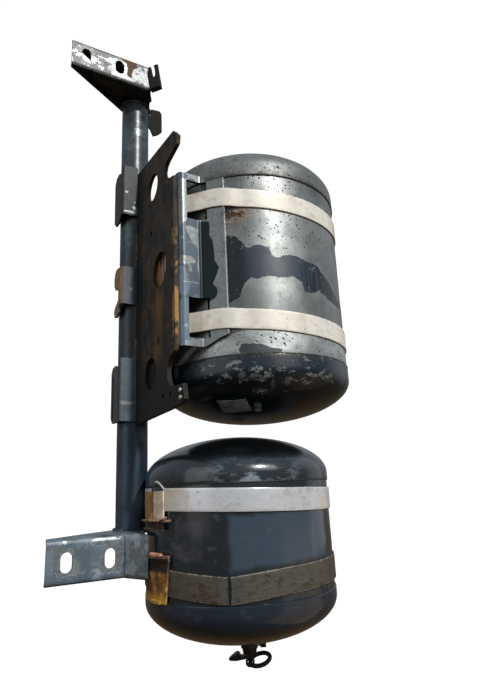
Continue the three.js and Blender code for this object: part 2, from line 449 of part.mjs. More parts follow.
const RING_HOLE = new THREE.Vector3(DV.x, DV.y, -240.5);
{
  const stem = turned([[0, -209.9], [4, -209.9], [4, -211.9], [2, -212], [2, -236], [0, -236]], DV.x, DV.y, 12);
  const q = new THREE.Quaternion().setFromUnitVectors(new THREE.Vector3(0, 1, 0), RING_AX);
  const lug = new THREE.CylinderGeometry(6.6, 6.6, 5, 16).applyQuaternion(q).translate(RING_HOLE.x, RING_HOLE.y, RING_HOLE.z);
  const hole = new THREE.CylinderGeometry(4.0, 4.0, 12, 16).applyQuaternion(q).translate(RING_HOLE.x, RING_HOLE.y, RING_HOLE.z);
  const body = join(fixWinding(stem), lug);
  part('drain_stem', cut(body, hole), 0x24272a, 0.45, 0.6);
  part('drain_seal', turned([[2.35, -212.2], [4.4, -212.2], [4.4, -213.2], [2.35, -213.2]], DV.x, DV.y, 16), 0x161616, 0.9, 0);
  // thumb lever, clamped round the stem just below the body's mouth
  let lev = prismZ([[4.6, -3], [4.6, 3], [0, 5.2], [-8, 7], [-20, 8], [-29, 4.5], [-31, 0], [-29, -4.5], [-20, -8], [-8, -7], [0, -5.2]], -4, 9, [circlePts(0, 0, 2.7, 12)]);
  lev = common(lev, prismY([[4.7, -1.4], [4.7, 1.2], [-12.5, 1.2], [-15, 6], [-17, 6.6], [-21, 5.6], [-30, 1.2], [-31.2, -0.4], [-30, -1.8], [-20, -2.6], [-6, -2.6], [0, -1.4]], -10, 10));
  lev.rotateY(rad(-7)).rotateZ(Math.atan2(-0.5, 0.866)).translate(DV.x, DV.y, -231.6);
  part('drain_lever', lev, 0x1d1f21, 0.5, 0.5);
  const ring = new THREE.TorusGeometry(14.6, 3.1, 10, 28);        // lies in local XY
  const side = new THREE.Vector3().crossVectors(new THREE.Vector3(0, 0, 1), RING_AX).negate().normalize().multiplyScalar(-1);
  let out = uR.clone().addScaledVector(RING_AX, -uR.dot(RING_AX)).normalize();
  const nrm = new THREE.Vector3().crossVectors(out, RING_AX).normalize();
  out = out.clone().applyAxisAngle(RING_AX, rad(-12));
  nrm.applyAxisAngle(RING_AX, rad(-12));
  ring.applyMatrix4(new THREE.Matrix4().makeBasis(out, RING_AX, nrm));
  ring.translate(RING_HOLE.x + out.x * 14.6, RING_HOLE.y + out.y * 14.6, RING_HOLE.z + out.z * 14.6);
  part('drain_pull_ring', ring, 0x2a2422, 0.5, 0.6);
}

export default root;
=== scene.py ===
import bpy, bmesh, json, math, random
import numpy as np
from mathutils import Vector, Matrix, noise as mn


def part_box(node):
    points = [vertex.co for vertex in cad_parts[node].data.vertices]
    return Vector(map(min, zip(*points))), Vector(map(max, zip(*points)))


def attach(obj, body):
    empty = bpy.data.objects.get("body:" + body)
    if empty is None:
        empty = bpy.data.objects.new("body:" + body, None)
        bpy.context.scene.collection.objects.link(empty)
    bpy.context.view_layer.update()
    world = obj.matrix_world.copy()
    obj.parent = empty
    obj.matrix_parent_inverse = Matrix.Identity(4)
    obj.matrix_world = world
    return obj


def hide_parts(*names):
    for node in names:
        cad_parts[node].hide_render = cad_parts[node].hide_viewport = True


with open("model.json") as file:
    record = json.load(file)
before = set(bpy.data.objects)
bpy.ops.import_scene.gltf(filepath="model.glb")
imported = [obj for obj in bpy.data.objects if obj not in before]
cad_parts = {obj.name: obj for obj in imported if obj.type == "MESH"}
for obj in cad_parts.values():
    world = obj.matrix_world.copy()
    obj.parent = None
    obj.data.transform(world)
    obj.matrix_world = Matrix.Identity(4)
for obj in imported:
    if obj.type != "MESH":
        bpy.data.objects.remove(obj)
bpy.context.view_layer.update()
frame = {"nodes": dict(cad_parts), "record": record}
random.seed(7)
rng = np.random.default_rng(7)
COL = bpy.context.scene.collection
rad = math.radians

# The set is laid out about the tube's axis in millimetres; row frame is that plus this shift, in metres.
SH = np.array([79.0, 60.0, 85.0])


def P(p):
    return (np.asarray(p, float) + SH) / 1000.0


# ------------------------------------------------------------------ camera, floor, lights
R_, U_, F_ = Vector((0.87111, -0.48901, -0.045)), Vector((-0.08893, -0.24719, 0.96487)), Vector((0.48296, 0.83652, 0.25882))
cam = bpy.data.objects.new("camera", bpy.data.cameras.new("camera"))
COL.objects.link(cam)
cam.data.sensor_fit, cam.data.sensor_width, cam.data.lens = "AUTO", 36.0, 26.522
cam.data.clip_start, cam.data.clip_end = 0.01, 50
cam.matrix_world = Matrix(((R_.x, U_.x, -F_.x, -0.1865), (R_.y, U_.y, -F_.y, -0.7715), (R_.z, U_.z, -F_.z, 0.085), (0, 0, 0, 1)))
bpy.context.scene.camera = cam


def lin(*c):
    return tuple(((v / 255) / 12.92 if v / 255 <= 0.04045 else ((v / 255 + 0.055) / 1.055) ** 2.4) for v in c) + (1.0,)


def new_mesh(name, verts, faces, smooth=True, sharp=None):
    me = bpy.data.meshes.new(name)
    me.from_pydata([tuple(v) for v in verts], [], [tuple(f) for f in faces])
    me.update()
    bm = bmesh.new(); bm.from_mesh(me)
    bmesh.ops.recalc_face_normals(bm, faces=bm.faces)
    bm.to_mesh(me); bm.free()
    for p in me.polygons:
        p.use_smooth = smooth
    if sharp:
        me.set_sharp_from_angle(angle=rad(sharp))
    ob = bpy.data.objects.new(name, me)
    COL.objects.link(ob)
    return ob


def stage_bowl():
    prof = [(0.001, -0.75), (1.0, -0.75), (2.0, -0.75)]
    for i in range(1, 13):
        a = rad(90 * i / 12)
        prof.append((2.0 + 1.3 * math.sin(a), -0.75 + 1.3 * (1 - math.cos(a))))
    prof += [(3.3, 2.0), (3.3, 5.0)]
    n, v, f = 64, [], []
    for r, z in prof:
        for i in range(n):
            a = 2 * math.pi * i / n
            v.append((0.2 + r * math.cos(a), r * math.sin(a), z))
    for j in range(len(prof) - 1):
        for i in range(n):
            f.append((j * n + i, j * n + (i + 1) % n, (j + 1) * n + (i + 1) % n, (j + 1) * n + i))
    ob = new_mesh("studio_floor", v, f)
    m = bpy.data.materials.new("studio_floor"); m.use_nodes = True
    t = m.node_tree; t.nodes.clear()
    out = t.nodes.new("ShaderNodeOutputMaterial"); add = t.nodes.new("ShaderNodeAddShader")
    em = t.nodes.new("ShaderNodeEmission"); df = t.nodes.new("ShaderNodeBsdfDiffuse")
    em.inputs[0].default_value = (1, 1, 1, 1); em.inputs[1].default_value = 1.0
    df.inputs[0].default_value = (0.10, 0.10, 0.10, 1)
    t.links.new(em.outputs[0], add.inputs[0]); t.links.new(df.outputs[0], add.inputs[1]); t.links.new(add.outputs[0], out.inputs[0])
    ob.data.materials.append(m)
    ob.visible_glossy = ob.visible_diffuse = ob.visible_shadow = ob.visible_transmission = False


stage_bowl()
bpy.context.scene.view_settings.view_transform = "Standard"
world = bpy.data.worlds.new("studio"); bpy.context.scene.world = world; world.use_nodes = True
wt = world.node_tree; wt.nodes.clear()
wo = wt.nodes.new("ShaderNodeOutputWorld"); bg = wt.nodes.new("ShaderNodeBackground"); wt.links.new(bg.outputs[0], wo.inputs[0])
tc = wt.nodes.new("ShaderNodeTexCoord"); sx = wt.nodes.new("ShaderNodeSeparateXYZ"); rp = wt.nodes.new("ShaderNodeValToRGB")
mr = wt.nodes.new("ShaderNodeMapRange"); mr.inputs[1].default_value = -1; mr.inputs[2].default_value = 1
wt.links.new(tc.outputs["Generated"], sx.inputs[0]); wt.links.new(sx.outputs[2], mr.inputs[0]); wt.links.new(mr.outputs[0], rp.inputs[0]); wt.links.new(rp.outputs[0], bg.inputs[0])
stops = [(0.0, (0.050, 0.034, 0.022)), (0.30, (0.105, 0.072, 0.045)), (0.46, (0.12, 0.10, 0.08)), (0.52, (0.20, 0.215, 0.235)), (0.66, (0.30, 0.33, 0.37)), (1.0, (0.26, 0.30, 0.36))]
cr = rp.color_ramp
cr.elements[0].position, cr.elements[0].color = stops[0][0], (*stops[0][1], 1)
cr.elements[1].position, cr.elements[1].color = stops[-1][0], (*stops[-1][1], 1)
for p_, c_ in stops[1:-1]:
    e = cr.elements.new(p_); e.color = (*c_, 1)
bg.inputs[1].default_value = 1.0


def sun(name, to_sun, energy, angle, col):
    d = bpy.data.lights.new(name, "SUN"); d.energy, d.angle, d.color = energy, rad(angle), col
    o = bpy.data.objects.new(name, d); COL.objects.link(o)
    o.rotation_mode = "QUATERNION"; o.rotation_quaternion = Vector(to_sun).to_track_quat("Z", "Y")


def area(name, loc, at, size, power, col=(1, 1, 1)):
    d = bpy.data.lights.new(name, "AREA"); d.shape = "RECTANGLE"; d.size, d.size_y = size; d.energy, d.color = power, col
    o = bpy.data.objects.new(name, d); COL.objects.link(o); o.location = loc
    o.rotation_mode = "QUATERNION"; o.rotation_quaternion = (Vector(loc) - Vector(at)).to_track_quat("Z", "Y")


FH = Vector((F_.x, F_.y, 0)).normalized(); RH = Vector((R_.x, R_.y, 0)).normalized()
SUN = Vector((math.cos(rad(274)) * math.cos(rad(36)), math.sin(rad(274)) * math.cos(rad(36)), math.sin(rad(36))))
sun("key_sun", SUN, 2.35, 3.0, (1.0, 0.975, 0.93))
MID = Vector((0.2, 0, 0.35))
area("soft_front", MID + Vector((0.25, -1.9, 0.75)), MID, (1.0, 1.0), 6, (1, 0.99, 0.97))
area("soft_left", MID + Vector((-1.9, -0.5, 0.5)), MID, (1.2, 1.8), 5.5, (1.0, 0.98, 0.95))
area("soft_right", MID + Vector((1.9, -0.3, 0.3)), MID, (1.2, 1.8), 2.2, (0.96, 0.98, 1))
area("ground_bounce", MID + Vector((0.9, -0.9, -1.05)), MID, (1.6, 1.6), 2.2, (1.0, 0.72, 0.46))


# ------------------------------------------------------------------ material helper
class Mat:
    def __init__(s, name):
        s.m = bpy.data.materials.new(name); s.m.use_nodes = True
        s.t = s.m.node_tree; s.t.nodes.clear()
        s.out = s.t.nodes.new("ShaderNodeOutputMaterial"); s.b = s.t.nodes.new("ShaderNodeBsdfPrincipled")
        s.t.links.new(s.b.outputs[0], s.out.inputs[0])
        s.co = s.t.nodes.new("ShaderNodeTexCoord").outputs["Object"]
        s.geo = None

    def put(s, sock, v):
        if isinstance(v, bpy.types.NodeSocket):
            s.t.links.new(v, sock)
        elif v is not None:
            if hasattr(sock.default_value, "__len__") and hasattr(v, "__len__"):
                sock.default_value = tuple(v)[: len(sock.default_value)] if len(v) >= len(sock.default_value) else (*v, 1.0)
            else:
                sock.default_value = v

    def node(s, kind, **kw):
        n = s.t.nodes.new("ShaderNode" + kind)
        for k, v in kw.items():
            setattr(n, k, v)
        return n

    def math(s, op, a, b=None, c=None, clamp=False):
        n = s.node("Math", operation=op, use_clamp=clamp)
        for i, v in enumerate((a, b, c)):
            if v is not None:
                s.put(n.inputs[i], v)
        return n.outputs[0]

    def add(s, a, b): return s.math("ADD", a, b)
    def sub(s, a, b): return s.math("SUBTRACT", a, b)
    def mul(s, a, b): return s.math("MULTIPLY", a, b)
    def mx(s, a, b): return s.math("MAXIMUM", a, b)
    def mnm(s, a, b): return s.math("MINIMUM", a, b)

    def at(s, stretch=None, seed=0, rot=None):
        n = s.node("Mapping"); s.t.links.new(s.co, n.inputs[0])
        n.inputs["Location"].default_value = (seed * 1.37, seed * 0.73, seed * 2.11)
        if stretch: n.inputs["Scale"].default_value = stretch
        if rot: n.inputs["Rotation"].default_value = tuple(rad(r) for r in rot)
        return n.outputs[0]

    def noise(s, scale, detail=4, rough=0.55, seed=0, stretch=None, dist=0.0, co=None, rot=None):
        n = s.node("TexNoise")
        s.put(n.inputs["Vector"], co if co is not None else s.at(stretch, seed, rot))
        n.inputs["Scale"].default_value, n.inputs["Detail"].default_value = scale, detail
        n.inputs["Roughness"].default_value, n.inputs["Distortion"].default_value = rough, dist
        return n.outputs[0]

    def cells(s, scale, seed=0, stretch=None, rnd=1.0):
        n = s.node("TexVoronoi"); s.put(n.inputs["Vector"], s.at(stretch, seed)); n.inputs["Scale"].default_value = scale
        n.inputs["Randomness"].default_value = rnd
        return n.outputs["Distance"], n.outputs["Color"]

    def step(s, x, lo, hi, a=0.0, b=1.0):
        n = s.node("MapRange", interpolation_type="SMOOTHSTEP", clamp=True)
        s.put(n.inputs[0], x)
        for i, v in ((1, lo), (2, hi), (3, a), (4, b)):
            s.put(n.inputs[i], v)
        return n.outputs[0]

    def mix(s, f, a, b):
        n = s.node("Mix", data_type="RGBA"); s.put(n.inputs[0], f); s.put(n.inputs[6], a); s.put(n.inputs[7], b)
        return n.outputs[2]

    def mul_col(s, f, a, b):
        n = s.node("Mix", data_type="RGBA", blend_type="MULTIPLY"); s.put(n.inputs[0], f); s.put(n.inputs[6], a); s.put(n.inputs[7], b)
        return n.outputs[2]

    def mixf(s, f, a, b):
        n = s.node("Mix", data_type="FLOAT"); s.put(n.inputs[0], f); s.put(n.inputs[2], a); s.put(n.inputs[3], b)
        return n.outputs[0]

    def attr(s, name):
        return s.node("Attribute", attribute_name=name).outputs["Fac"]

    def xyz(s):
        n = s.node("SeparateXYZ"); s.t.links.new(s.co, n.inputs[0]); return n.outputs

    def normal(s):
        if s.geo is None: s.geo = s.node("NewGeometry")
        n = s.node("SeparateXYZ"); s.t.links.new(s.geo.outputs["True Normal"], n.inputs[0]); return n.outputs

    def edge(s, r=0.0012, lo=0.02, hi=0.25):
        bv = s.node("Bevel", samples=4); bv.inputs[0].default_value = r
        g = s.node("NewGeometry"); d = s.node("VectorMath", operation="DOT_PRODUCT")
        s.t.links.new(bv.outputs[0], d.inputs[0]); s.t.links.new(g.outputs["Normal"], d.inputs[1])
        return s.step(s.sub(1.0, d.outputs["Value"]), lo, hi)

    def patch(s, name, amp=6.0, scale=90, seed=3, soft=0.5, detail=5):
        """Inside of a traced outline, in mm from its edge, with a ragged paint edge."""
        n = s.noise(scale, detail, 0.65, seed)
        v = s.add(s.attr(name), s.mul(s.sub(n, 0.5), amp))
        return s.step(v, -soft, soft)

    def scratches(s, scale=70, thr=0.66, seed=1, rots=((0, 25, 10), (40, 0, -20))):
        out = None
        for i, r in enumerate(rots):
            n = s.noise(scale, 2, 0.5, seed + i * 3, stretch=(1, 0.06, 0.9) if i % 2 else (0.06, 1, 0.9), rot=r)
            m = s.step(n, thr, thr + 0.03)
            out = m if out is None else s.mx(out, m)
        return out

    def done(s, col, rough, metal=0.0, bump=None, strength=0.3, dist=0.0006, coat=0.0, coat_rough=0.1, spec=0.5):
        b = s.b
        s.put(b.inputs["Base Color"], col); s.put(b.inputs["Roughness"], rough); s.put(b.inputs["Metallic"], metal)
        b.inputs["Specular IOR Level"].default_value = spec
        s.put(b.inputs["Coat Weight"], coat); b.inputs["Coat Roughness"].default_value = coat_rough
        if bump is not None:
            n = s.node("Bump"); n.inputs["Strength"].default_value = strength; n.inputs["Distance"].default_value = dist
            s.put(n.inputs["Height"], bump); s.t.links.new(n.outputs[0], b.inputs["Normal"])
        return s.m


def worn_paint(name, paint, dark, bare, bare_thr=0.60, bare_scale=22, rust_amt=0.62, rough=0.42, seed=1, edge=0.75, patches=(), rusts=(), streak=None, rust_a=(92, 58, 36), rust_b=(58, 38, 26), scr=0.66, bare_metal=0.75, extra=None):
    """Worn paint on plate: paint in two tones, bare metal showing through in patches and along edges, rust round them, scratches."""
    m = Mat(name)
    big, mid, fine, tiny = m.noise(9, 4, 0.6, seed), m.noise(38, 5, 0.6, seed + 2), m.noise(170, 4, 0.6, seed + 4), m.noise(620, 3, 0.6, seed + 6)
    base = m.mix(m.step(big, 0.35, 0.68), lin(*dark), lin(*paint))
    base = m.mix(m.mul(m.step(mid, 0.45, 0.8), 0.45), base, lin(*[min(255, v * 1.22 + 8) for v in paint]))
    base = m.mul_col(m.mul(m.step(fine, 0.55, 0.75), 0.35), base, lin(120, 112, 104))
    w = m.noise(bare_scale, 8, 0.68, seed + 8)
    mask = m.step(m.add(w, m.mul(m.sub(big, 0.5), 0.30)), bare_thr, bare_thr + 0.012)
    for a_, amp in patches:
        mask = m.mx(mask, m.patch(a_, amp, 95, seed + 1))
    e = m.step(m.mul(m.edge(), m.add(0.35, mid)), 0.30, 0.55)
    mask = m.mx(mask, m.mul(e, edge))
    s1 = m.scratches(64, scr, seed + 11)
    mask = m.mx(mask, m.mul(s1, 0.8))
    barec = m.mix(m.step(fine, 0.3, 0.7), lin(*[v * 0.82 for v in bare]), lin(*bare))
    barec = m.mix(m.mul(m.step(tiny, 0.5, 0.75), 0.35), barec, lin(*[v * 0.55 for v in bare]))
    col = m.mix(mask, base, barec)
    rn = m.noise(30, 8, 0.7, seed + 15)
    near = m.step(m.add(w, m.mul(m.sub(rn, 0.5), 0.5)), bare_thr - 0.05, bare_thr + 0.05)
    rmask = m.mul(m.step(rn, rust_amt, rust_amt + 0.06), m.mx(near, 0.55))
    for a_, amp in rusts:
        rmask = m.mx(rmask, m.patch(a_, amp, 120, seed + 5, 1.0))
    rustc = m.mix(m.step(fine, 0.35, 0.65), lin(*rust_b), lin(*rust_a))
    col = m.mix(rmask, col, rustc)
    if extra: col, mask = extra(m, col, mask)
    dirt = m.step(m.noise(52, 6, 0.65, seed + 20), 0.56, 0.72)
    col = m.mul_col(m.mul(dirt, 0.5), col, lin(95, 88, 82))
    rg = m.mixf(mask, rough, 0.36)
    rg = m.mixf(rmask, rg, 0.85)
    rg = m.add(rg, m.mul(m.sub(fine, 0.5), 0.16))
    mt = m.mul(m.mul(mask, m.sub(1.0, rmask)), bare_metal)
    h = m.add(m.mul(m.sub(1.0, mask), 0.6), m.add(m.mul(fine, 0.35), m.mul(m.mul(rmask, tiny), 0.9)))
    return m.done(col, rg, mt, h, 0.55, 0.0004)


# ------------------------------------------------------------------ signed distance to traced outlines
def sd(pts, poly):
    """+ inside, - outside, in mm."""
    pts = np.asarray(pts, float); poly = np.asarray(poly, float)
    d = np.full(len(pts), 1e9); inside = np.zeros(len(pts), bool)
    for i in range(len(poly)):
        a, b = poly[i], poly[(i + 1) % len(poly)]
        e = b - a; w = pts - a
        t = np.clip((w @ e) / max(1e-9, e @ e), 0, 1)
        d = np.minimum(d, np.linalg.norm(w - t[:, None] * e, axis=1))
        c = ((a[1] > pts[:, 1]) != (b[1] > pts[:, 1]))
        with np.errstate(divide="ignore", invalid="ignore"):
            xi = (b[0] - a[0]) * (pts[:, 1] - a[1]) / (b[1] - a[1]) + a[0]
        inside ^= c & (pts[:, 0] < xi)
    return np.where(inside, d, -d)


def put_attr(ob, name, values):
    a = ob.data.attributes.new(name, "FLOAT", "POINT")
    a.data.foreach_set("value", np.asarray(values, np.float32))


def coords(ob):
    """Vertices in mm about the tube's axis."""
    co = np.empty(len(ob.data.vertices) * 3, np.float32); ob.data.vertices.foreach_get("co", co)
    return co.reshape(-1, 3).astype(float) * 1000.0 - SH


def adopt(node, mat, bevel=0.7, seg=2, grid=None, angle=28, dent=0.0):
    """A finished copy of a CAD node's shape: edges broken, corners shaded."""
    src = frame["nodes"][node]
    bm = bmesh.new(); bm.from_mesh(src.data)
    bmesh.ops.remove_doubles(bm, verts=bm.verts, dist=2e-5)
    bmesh.ops.dissolve_limit(bm, angle_limit=rad(0.6), verts=bm.verts, edges=bm.edges)
    if bevel:
        sharp = [e for e in bm.edges if len(e.link_faces) == 2 and e.calc_face_angle() > rad(angle)]
        bmesh.ops.bevel(bm, geom=sharp, offset=bevel / 1000, offset_type="OFFSET", segments=seg, profile=0.5, affect="EDGES", clamp_overlap=True)
    if grid:
        lo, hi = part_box(node)
        for k in range(3):
            n = Vector((0, 0, 0)); n[k] = 1
            x = lo[k] + grid / 1000 * 0.51
            while x < hi[k]:
                bmesh.ops.bisect_plane(bm, geom=bm.verts[:] + bm.edges[:] + bm.faces[:], dist=1e-7, plane_co=n * x, plane_no=n)
                x += grid / 1000
    bmesh.ops.triangulate(bm, faces=[f for f in bm.faces if len(f.verts) > 4])
    me = bpy.data.meshes.new(node + "_shaped"); bm.to_mesh(me); bm.free()
    for p in me.polygons: p.use_smooth = True
    me.set_sharp_from_angle(angle=rad(34))
    ob = bpy.data.objects.new(node + "_shaped", me); COL.objects.link(ob)
    if dent:
        for v in me.vertices:
            v.co += Vector(mn.noise_vector(v.co * 28)) * dent / 1000
    w = ob.modifiers.new("weighted", "WEIGHTED_NORMAL"); w.keep_sharp = True
    ob.data.materials.append(mat)
    body = next(b for b, ns in (frame["record"]["behaviour"]["bodies"]).items() if node in ns)
    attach(ob, body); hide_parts(node)
    return ob


def piece(ob, mat, body="carrier", nodes=()):
    ob.data.materials.append(mat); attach(ob, body)
    if nodes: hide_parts(*nodes)
    return ob


def lathe(name, prof, cx, cy, seg=192, wob=0.0, wscale=9.0, sharp=35):
    """Closed profile of (r, z) in mm about a vertical axis. Points at r 0 share one vertex."""
    v, rows = [], []
    for r, z in prof:
        if r < 1e-6:
            rows.append([len(v)] * seg); v.append((cx, cy, z)); continue
        row = []
        for i in range(seg):
            a = 2 * math.pi * i / seg
            rr = r + (wob * mn.noise(Vector((math.cos(a) * wscale * r / 150, math.sin(a) * wscale * r / 150, z * wscale / 150))) if wob else 0)
            row.append(len(v)); v.append((cx + rr * math.cos(a), cy + rr * math.sin(a), z))
        rows.append(row)
    f = []
    for j in range(len(rows)):
        A, B = rows[j], rows[(j + 1) % len(rows)]
        if A[0] == A[1] and B[0] == B[1]: continue
        for i in range(seg):
            k = (i + 1) % seg
            q = [A[i], A[k], B[k], B[i]]
            q2 = [x for n_, x in enumerate(q) if x not in q[:n_]]
            if len(q2) >= 3: f.append(q2)
    return new_mesh(name, [P(p) for p in v], f, True, sharp)


def sweep(name, line, rr, closed=False, seg=8, flat=1.0, ripple=0.0, pitch=3.0, seed=0, ups=None):
    """A round bar or a weld bead along a line of points in mm."""
    L = np.asarray(line, float)
    if ripple:
        d = np.r_[0, np.cumsum(np.linalg.norm(np.diff(L, axis=0), axis=1))]
        n = max(8, int(d[-1] / (pitch / 5)))
        t = np.linspace(0, d[-1], n)
        L = np.stack([np.interp(t, d, L[:, k]) for k in range(3)], 1)
        rad_ = np.array([rr * (1 + ripple * abs(math.sin(math.pi * x / pitch + 1.3 * mn.noise(Vector((x * 0.05, seed, 0))))) + 0.25 * mn.noise(Vector((x * 0.13, seed + 5.5, 0)))) for x in t])
        if not closed:
            rad_[:2] *= 0.6; rad_[-2:] *= 0.6
    else:
        rad_ = np.full(len(L), float(rr))
    n = len(L); v, f = [], []
    prev = None
    for i in range(n):
        a = L[(i - 1) % n] if (closed or i > 0) else L[i]
        b = L[(i + 1) % n] if (closed or i < n - 1) else L[i]
        t = Vector(b - a).normalized()
        ref = Vector(ups) if ups is not None else (prev if prev is not None else (Vector((0, 0, 1)) if abs(t.z) < 0.9 else Vector((1, 0, 0))))
        x = (ref - t * ref.dot(t)).normalized(); y = t.cross(x); prev = x
        for k in range(seg):
            q = 2 * math.pi * k / seg
            v.append(Vector(L[i]) + (x * math.cos(q) * flat + y * math.sin(q)) * rad_[i])
    for i in range(n if closed else n - 1):
        j = (i + 1) % n
        for k in range(seg):
            f.append((i * seg + k, i * seg + (k + 1) % seg, j * seg + (k + 1) % seg, j * seg + k))
    if not closed:
        f.append(tuple(range(seg))); f.append(tuple((n - 1) * seg + k for k in range(seg)))
    return new_mesh(name, [P(p) for p in v], f, True, 50)


# ------------------------------------------------------------------ traced wear, in mm on each surface
ISLE = [(227.9, 362.0), (232.7, 357.0), (234.8, 349.9), (236.9, 341.4), (239.1, 337.8), (240.8, 340.8), (243.1, 343.0), (246.4, 342.1), (250.3, 335.9), (251.3, 329.6), (252.9, 324.3), (255.8, 323.2), (258.3, 327.0), (262.7, 329.9), (265.9, 329.6), (269.2, 327.0), (273.3, 324.3), (278.0, 323.8), (282.9, 320.5), (287.2, 310.4), (294.5, 299.3), (302.4, 283.9), (311.2, 274.3), (304.5, 267.1), (290.2, 271.5), (284.4, 277.5), (281.0, 280.2), (275.9, 274.3), (270.7, 273.6), (269.6, 280.9), (269.3, 290.3), (266.0, 292.1), (262.9, 295.8), (258.5, 293.0), (255.5, 290.9), (252.7, 293.6), (248.8, 294.0), (245.4, 291.7), (242.5, 288.8), (239.3, 292.2), (236.5, 286.5), (234.6, 276.2), (233.3, 264.3), (231.1, 260.3), (222.0, 250.0), (218, 372)]
BURN = [(222, 407), (227.6, 405.0), (238.0, 401.7), (239.0, 394.8), (236.6, 387.0), (232.5, 383.2), (229.0, 382.8), (222, 386.8)]
LOWP = [(230.3, 185.3), (231.5, 192.2), (235.9, 194.2), (243.2, 191.8), (247.4, 188.6), (255.5, 183.0), (250, 179), (232, 179)]
LEG = [[(-6.9, 423.5), (-0.3, 442.1), (6.3, 455.9), (17.8, 459.2), (16.6, 394.5), (13.2, 383.8), (8.3, 377.8), (0.4, 380.8), (-4.1, 396.1), (-8.7, 409.8)],
       [(13.0, 377.2), (21.1, 380.7), (32.4, 376.7), (38.7, 366.5), (39.9, 350.4), (33.3, 347.4), (23.8, 353.5), (17.6, 365.2)],
       [(-9.5, 324.6), (7.5, 331.1), (20.1, 330.3), (28.0, 327.1), (27.8, 320.7), (16.7, 317.0), (1.1, 317.3), (-9.6, 316.9)],
       [(17.5, 205.3), (42.1, 205.0), (40.3, 194.5), (2.2, 189.4), (2.4, 198.0)],
       [(31.0, 318.1), (39.0, 318.0), (40.5, 313.5), (32.4, 312.0)],
       [(6.5, 471.5), (33.2, 477.6), (43.1, 466.4), (32.8, 458.2), (21.1, 460.1), (13.0, 468.2)]]
LEG_LIGHT = [[(4.2, 314.7), (10.3, 312.8), (16.3, 299.8), (19.1, 284.8), (15.8, 270.5), (8.0, 264.8), (3.5, 274.7), (0.8, 292.5)],
             [(0.3, 259.2), (18.7, 264.9), (28.3, 272.4), (40.8, 268.1), (18.7, 261.8), (17.3, 195.2), (2.3, 192.3)]]
FOOT = [[(-1.0, 385.3), (22, 384.0), (24, 322.3), (6.1, 312.7), (0.1, 320.3), (-0.9, 339.6), (-3.5, 356.3), (-8.1, 367.2)],
        [(1.3, 310.5), (24, 311.4), (24, 257.9), (14.6, 249.7), (-14.9, 250.2), (-13.0, 259.0), (1.3, 267.2), (3.3, 279.1), (-4.3, 286.6), (0.9, 298.1)],
        [(-18, 477.9), (24, 462), (24, 434.0), (-18, 439.7)]]
UB_RUST = [(-49.5, 779.8), (-30.6, 776.9), (-19.1, 779.6), (-15.1, 769.9), (-22.7, 759.9), (-28.3, 746.3), (-24.5, 739.0), (-37.7, 740.1), (-34.1, 755.0), (-36.2, 767.6), (-47.5, 771.7)]
UB_GREY = [[(-83.9, 755.7), (-71.1, 752.4), (-61.9, 745.4), (-52.6, 742.7), (-70.8, 739.4), (-79.9, 742.1)], [(-133.4, 768.3), (-126.6, 771.4), (-127.2, 740.9), (-132.1, 734.5)]]
LB_BARE = [[(-128.0, -81.2), (-118.3, -68.3), (-101.1, -69.8), (-91.1, -87.5), (-95.9, -103.5), (-116.7, -103.6), (-130.0, -93.5)], [(-66.6, -87.4), (-58.6, -72.4), (-40.0, -75.4), (-32.5, -90.8), (-35.1, -106.4), (-57.8, -105.2)]]

# ------------------------------------------------------------------ materials
def faces(m, axis, lo, hi):
    """1 where the surface faces that way."""
    return m.step(m.normal()[axis], lo, hi)


def tube_extra(m, col, mask):
    x, y, z = m.xyz()
    st = m.mul(m.mul(m.step(m.noise(30, 4, 0.6, 231, stretch=(1, 1, 0.05)), 0.46, 0.58), m.step(z, 0.25, 0.20)), 0.8)
    col = m.mix(st, col, lin(22, 44, 62))
    # the tube is darkened along its middle, where the hooks and the plate stand: painted shade
    dk = m.mul(m.step(z, 0.64, 0.60), m.step(z, 0.24, 0.28))
    return m.mul_col(m.mul(dk, 0.75), col, lin(120, 128, 130)), mask


def flank(dark_a, dark_b, sgn=-1):
    def go(m, col, mask):
        f = m.step(m.mul(m.normal()[0], sgn), 0.45, 0.75)
        n = m.noise(60, 6, 0.65, 241)
        d = m.mix(m.step(n, 0.40, 0.60), lin(*dark_a), lin(*dark_b))
        ed = m.step(m.mul(m.edge(), m.add(0.35, n)), 0.35, 0.60)
        d = m.mix(m.mul(ed, 0.6), d, lin(168, 158, 138))
        u = m.step(m.mul(m.normal()[2], -1), 0.6, 0.9)
        return m.mix(m.mul(f, 0.94), col, d), mask
    return go


def ub_extra(m, col, mask):
    x, y, z = m.xyz()
    n = m.noise(70, 8, 0.75, 251)
    blk = m.mul(m.step(n, 0.60, 0.62), m.step(m.add(x, m.mul(m.sub(m.noise(30, 5, 0.6, 253), 0.5), 0.03)), -0.030, -0.046))
    mid = m.mul(m.step(m.noise(52, 9, 0.78, 255), 0.625, 0.64), m.step(m.math("ABSOLUTE", m.sub(x, -0.005)), 0.035, 0.012))
    col = m.mix(m.mx(blk, m.mul(mid, 0.9)), col, lin(38, 36, 34))
    g = m.patch("grey", 8, 120, 257, 1.0, 8)
    col = m.mix(m.mul(g, 0.8), col, lin(92, 96, 98))
    fl = m.patch("ring", 6, 120, 259, 1.5, 7)
    col = m.mix(m.mul(fl, 0.4), col, lin(176, 178, 176))
    # undersides and faces turned to the back painted near-black: painted shade
    under_shade = m.step(m.mul(m.normal()[2], -1), 0.35, 0.75)
    inner = m.step(m.normal()[1], 0.2, 0.6)
    return m.mix(m.mx(under_shade, inner), col, lin(16, 18, 20)), mask


